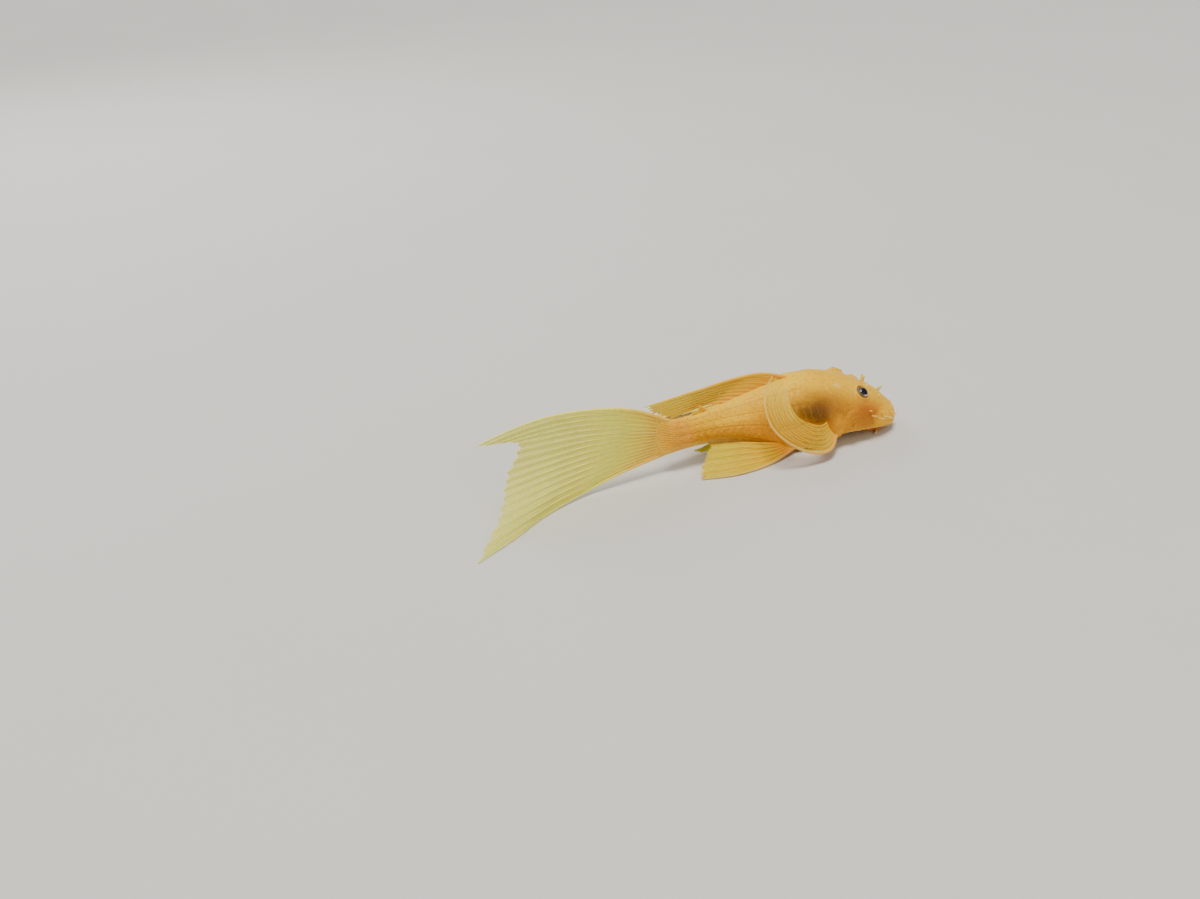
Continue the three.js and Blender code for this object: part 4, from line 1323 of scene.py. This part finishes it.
def bristle_tree():
    tree = new_tree("bristles_on_plates", [("Density", "NodeSocketFloat"), ("Length", "NodeSocketFloat"),
                                           ("Radius", "NodeSocketFloat"), ("Material", "NodeSocketMaterial")])
    given = tree_node(tree, "NodeGroupInput")
    edge = named_value(tree, "FLOAT", "bristles")
    lean = named_value(tree, "FLOAT_VECTOR", "lean")
    density = tree_node(tree, "ShaderNodeMath", {"operation": "MULTIPLY"},
                        {"Value": given.outputs["Density"], "Value_001": edge.outputs[0]})
    points = tree_node(tree, "GeometryNodeDistributePointsOnFaces", None,
                       {"Mesh": given.outputs["Geometry"], "Density": density.outputs[0], "Seed": 5})
    turned = tree_node(tree, "FunctionNodeAlignRotationToVector", {"axis": "Z"}, {"Vector": lean.outputs[0]})
    cone = tree_node(tree, "GeometryNodeMeshCone", {"fill_type": "NGON"},
                     {"Vertices": BRISTLE_SIDES, "Radius Top": 0.0, "Radius Bottom": given.outputs["Radius"],
                      "Depth": given.outputs["Length"]})
    size = tree_node(tree, "FunctionNodeRandomValue", {"data_type": "FLOAT"},
                     {"Min_001": 0.6, "Max_001": 1.25, "Seed": 9})
    placed = tree_node(tree, "GeometryNodeInstanceOnPoints", None,
                       {"Points": points.outputs["Points"], "Instance": cone.outputs["Mesh"],
                        "Rotation": turned.outputs[0], "Scale": size.outputs[1]})
    return painted_output(tree, placed.outputs[0], given.outputs["Material"])


ground = skin.copy()
ground.data = skin.data.copy()
bpy.context.scene.collection.objects.link(ground)
bristles = run_tree(ground, bristle_tree(), {
    "Density": BRISTLES_A_SQUARE_METRE, "Length": BRISTLE_LENGTH * MM, "Radius": BRISTLE_RADIUS * MM,
    "Material": BRISTLE_FINISH}, "bristles")
print("bristles:", triangles(bristles), "triangles")

# %% [markdown]
# ## The sucker mouth
#
# The lips form a fleshy disc under the head, with an opening across its middle, a fringed rim
# and a barbel at each corner. The disc lies on the floor, so its underside is flat with furrows
# between its papillae. It is one closed grid from the hidden top to the roof of the mouth.

# %% Make the mouth
DISC_STATION, DISC_HALF_LENGTH, DISC_HALF_WIDTH = 5.4, 4.1, 5.0
MOUTH_HALF_LENGTH, MOUTH_HALF_WIDTH, MOUTH_DEPTH = 1.0, 2.3, 0.62
DISC_AROUND = 144
DISC_TURNS = np.arange(DISC_AROUND) * 2 * math.pi / DISC_AROUND
BARBEL_HEIGHT, BARBEL_LENGTH, BARBEL_RADIUS = 0.36, 2.0, 0.3


def under(half_length, half_width, turn):
    station = DISC_STATION - half_length * np.cos(turn)
    return on_body(station, half_width * np.sin(turn), profile(station, 3) - 0.12)


def disc_ring(share, height):
    """A ring of the lips at this height, or right under the skin where no height is given."""
    fringe = 0.018 * np.cos(9 * DISC_TURNS) + 0.012 * np.cos(31 * DISC_TURNS)
    fringe = 1 + fringe * smooth(0.85, 1, share)
    points = under(DISC_HALF_LENGTH * share * fringe, DISC_HALF_WIDTH * share * fringe, DISC_TURNS)
    if height is not None:
        papillae = 0.5 + 0.5 * np.cos(36 * DISC_TURNS + (round(share * 50) % 2) * math.pi)
        papillae = 0.07 * papillae * smooth(0.55, 0.62, share) * (1 - smooth(0.9, 0.97, share))
        points[:, 2] = height + papillae
    return points


def mouth_ring(share, depth):
    points = under(MOUTH_HALF_LENGTH * share, MOUTH_HALF_WIDTH * share, DISC_TURNS)
    points[:, 2] *= depth
    return points


def mouth_disc():
    rings = [disc_ring(share, None) for share in (0.2, 0.5, 0.8, 0.93)]
    rings += [disc_ring(0.97 + 0.03 * math.sin(angle), 0.3 + 0.25 * math.cos(angle))
              for angle in np.linspace(0.2, 2.9, 9)]
    rings += [disc_ring(share, 0.0) for share in np.arange(0.94, 0.72, -0.02)]
    rings += [disc_ring(share, 0.1 * math.sin((0.72 - share) / 0.12 * math.pi))
              for share in (0.7, 0.68, 0.66, 0.64, 0.62)]
    rings += [disc_ring(0.58, 0.0), mouth_ring(1.3, 0.0), mouth_ring(1.15, 0.0), mouth_ring(1.05, 0.05)]
    rings += [mouth_ring(share, MOUTH_DEPTH * rise)
              for share, rise in ((1.0, 0.2), (0.95, 0.55), (0.85, 0.85), (0.7, 0.95), (0.4, 1.0))]
    grid = np.array(rings)
    grid[..., 2] = np.maximum(grid[..., 2], 0)
    points = np.concatenate([grid.reshape(-1, 3), [grid[0].mean(0), grid[-1].mean(0)]])
    along = np.repeat(np.linspace(0, 1, len(rings)), DISC_AROUND)
    made = new_piece("mouth", points, closed_faces(len(rings), DISC_AROUND),
                     {"along": np.concatenate([along, [0, 1]])})
    made.data.materials.append(LIP_FINISH)
    return made


def barbels():
    chains = []
    for side in (-1, 1):
        corner = on_body(DISC_STATION, side * DISC_HALF_WIDTH, 0)
        corner[2] = BARBEL_HEIGHT
        first, second = unit(-0.3, side, 0), unit(-1.6, side, 0)
        chains.append(bent_rod(corner, first, second, BARBEL_LENGTH, BARBEL_RADIUS))
    return chains


mouth = mouth_disc()
corner_barbels = rods("barbels", barbels(), ROD_SIDES, LIP_FINISH)
print("mouth:", triangles(mouth), "triangles")

# %% [markdown]
# ## Eyes
#
# Each eye is a glossy ball sunk in its socket. Its dark pupil is partly covered from above by a
# grey flap of the iris, and a narrow pale ring borders it. A pale crescent below the pupil is a
# painted reflection. The ball is a grid of rings round the axis, and each point keeps its place
# across and up the eye for the finish.

# %% Make the eyes
EYE_RINGS, EYE_COLUMNS = 48, 72
EYE_BULGE = 0.03


def eye_finish():
    finish = Finish("eyes")
    across, up = finish.attribute("across_eye"), finish.attribute("up_eye")
    radius = (across * across + up * up).power(0.5)
    grain = finish.noise(4.5, 3.0)
    lobe = ((across + 0.12) * (across + 0.12) + (up + 0.34) * (up + 0.34)).power(0.5)
    flap = lobe.rising(0.6, 0.74) * up.rising(-0.1, 0.15)
    # Painted reflection: a pale pinkish crescent low in the eye.
    reflection_crescent = radius.near(0.7, 0.14) * (1 - up.rising(-0.62, -0.3))
    paint = finish.painted(
        "#16111b",
        (flap, "#423c40"),
        (flap * grain.rising(0.4, 0.65) * 0.6, "#6a6052"),
        # Painted reflection low in the eye.
        (reflection_crescent * 0.85, "#d0b4a8"),
        (radius.near(0.79, 0.06) * 0.6, "#b8935c"),
        (radius.rising(0.83, 0.9), "#5f3210"))
    finish.surface({
        "Base Color": paint, "Roughness": 0.1 + radius.rising(0.8, 1.0) * 0.3,
        "Coat Weight": 0.5, "Coat Roughness": 0.03, "Coat IOR": 1.3, "IOR": 1.3,
        "Specular IOR Level": 0.25, "Normal": finish.bump(grain, 0.01)})
    return finish.material


def eye_ball(name, side):
    centre, axis = EYES[side]
    across = np.cross([0, 0, 1], axis)
    across /= np.linalg.norm(across)
    up = np.cross(axis, across)
    angles = np.linspace(0, math.pi, EYE_RINGS + 2)[1:-1, None]
    around = np.arange(EYE_COLUMNS) * 2 * math.pi / EYE_COLUMNS
    reach = EYE_RADIUS * (1 + EYE_BULGE * smooth(0.7, 0.2, angles))
    x = np.sin(angles) * np.cos(around)
    y = np.sin(angles) * np.sin(around)
    z = np.cos(angles) * np.ones_like(around)
    flat = x[..., None] * across + y[..., None] * up + z[..., None] * axis
    grid = centre + flat * reach[..., None]
    poles = np.array([centre + axis * EYE_RADIUS * (1 + EYE_BULGE), centre - axis * EYE_RADIUS])
    # The hidden rear half counts as far from the pupil.
    front = np.where(z > 0, 1.0, 3.0)
    points = np.concatenate([grid.reshape(-1, 3), poles])
    made = new_piece(name, points, closed_faces(EYE_RINGS, EYE_COLUMNS), {
        "across_eye": np.concatenate([(x * front).ravel(), [0, 3]]),
        "up_eye": np.concatenate([(y * front).ravel(), [0, 3]])})
    made.data.materials.append(EYE_FINISH)
    return made


EYE_FINISH = eye_finish()
eyes = {"eye_left": eye_ball("left_eye", 1), "eye_right": eye_ball("right_eye", -1)}
print("eyes:", sum(triangles(piece) for piece in eyes.values()), "triangles")

# %% [markdown]
# ## Everything takes its CAD node's place
#
# One skin stands for the head, trunk and tail stalk, so no seam shows between them. The fins,
# mouth and eyes stand for their own nodes. The tail fin is one sheet for both lobes.

# %% Replace the CAD nodes
def stand_for(piece, slot, *nodes):
    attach(piece, "root")
    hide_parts(*nodes)


skin.data.materials.append(SKIN_FINISH)
for piece in (skin, tentacles, cheeks, bristles):
    stand_for(piece, "skin", "head", "trunk", "tail_stalk")
for piece in (mouth, corner_barbels):
    stand_for(piece, "lip", "mouth_disc")
for node, piece in eyes.items():
    stand_for(piece, "eye", node)
for name, piece in membranes.items():
    nodes = ("caudal_fin_upper", "caudal_fin_lower") if name == "caudal_fin" else (name,)
    piece.data.materials.append(MEMBRANE_FINISHES.get(name, WARM_MEMBRANE))
    for part in (piece, *fin_bones[name]):
        stand_for(part, "fin", *nodes)
total = sum(triangles(piece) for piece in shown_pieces())

# %% [markdown]
# ## Floor and light
#
# The fish rests on a large pale floor. A broad sun from above, a little from the camera's side,
# gives the soft main light. A weak area light fills the side near the camera, and one behind the
# fish shines through its fins. Area lights suit these two, because their size alone sets how
# soft a shadow is.

# %% Light the scene
FLOOR_HALF, FLOOR_HEIGHT = 1500.0, -0.02
AIM = Vector((-0.028, 0, 0.008))
SUN_TRAVEL, SUN_POWER, SUN_WIDTH = Vector((0.12, 0.12, -1)), 3.3, math.radians(22)


def floor_finish():
    finish = Finish("floor")
    grain = finish.noise(0.02, 2.0)
    paint = finish.painted("#d2cfc8", (grain * 0.5, "#cac7c0"))
    finish.surface({"Base Color": paint, "Roughness": 0.75})
    return finish.material


def place_light(data, place, travel):
    lamp = bpy.data.objects.new(data.name, data)
    lamp.location = place
    lamp.rotation_mode = "QUATERNION"
    lamp.rotation_quaternion = travel.to_track_quat("-Z", "Y")
    bpy.context.scene.collection.objects.link(lamp)


def soft_light(name, place, size, power, tint):
    data = bpy.data.lights.new(name, "AREA")
    data.shape = "DISK"
    data.size, data.energy, data.color = size, power, tint
    place_light(data, Vector(place), AIM - Vector(place))


around = [(-1, -1), (1, -1), (1, 1), (-1, 1)]
corners = [(x * FLOOR_HALF, y * FLOOR_HALF, FLOOR_HEIGHT) for x, y in around]
floor = new_piece("floor", corners, [(0, 1, 2, 3)])
floor.data.materials.append(floor_finish())
floor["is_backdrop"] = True
sun = bpy.data.lights.new("key", "SUN")
sun.energy, sun.angle, sun.color = SUN_POWER, SUN_WIDTH, (1.0, 0.975, 0.93)
place_light(sun, Vector((0, 0, 0)), SUN_TRAVEL)
soft_light("fill", (0.02, -0.46, 0.30), 0.40, 0.55, (1.0, 0.98, 0.95))
soft_light("back", (-0.12, 0.42, 0.30), 0.30, 0.9, (1.0, 0.98, 0.94))
world = bpy.data.worlds.new("studio")
world.use_nodes = True
sky = world.node_tree.nodes["Background"]
sky.inputs["Color"].default_value = (0.86, 0.9, 0.95, 1.0)
sky.inputs["Strength"].default_value = 0.45
bpy.context.scene.world = world
print("floor and", len(bpy.data.lights), "lights")
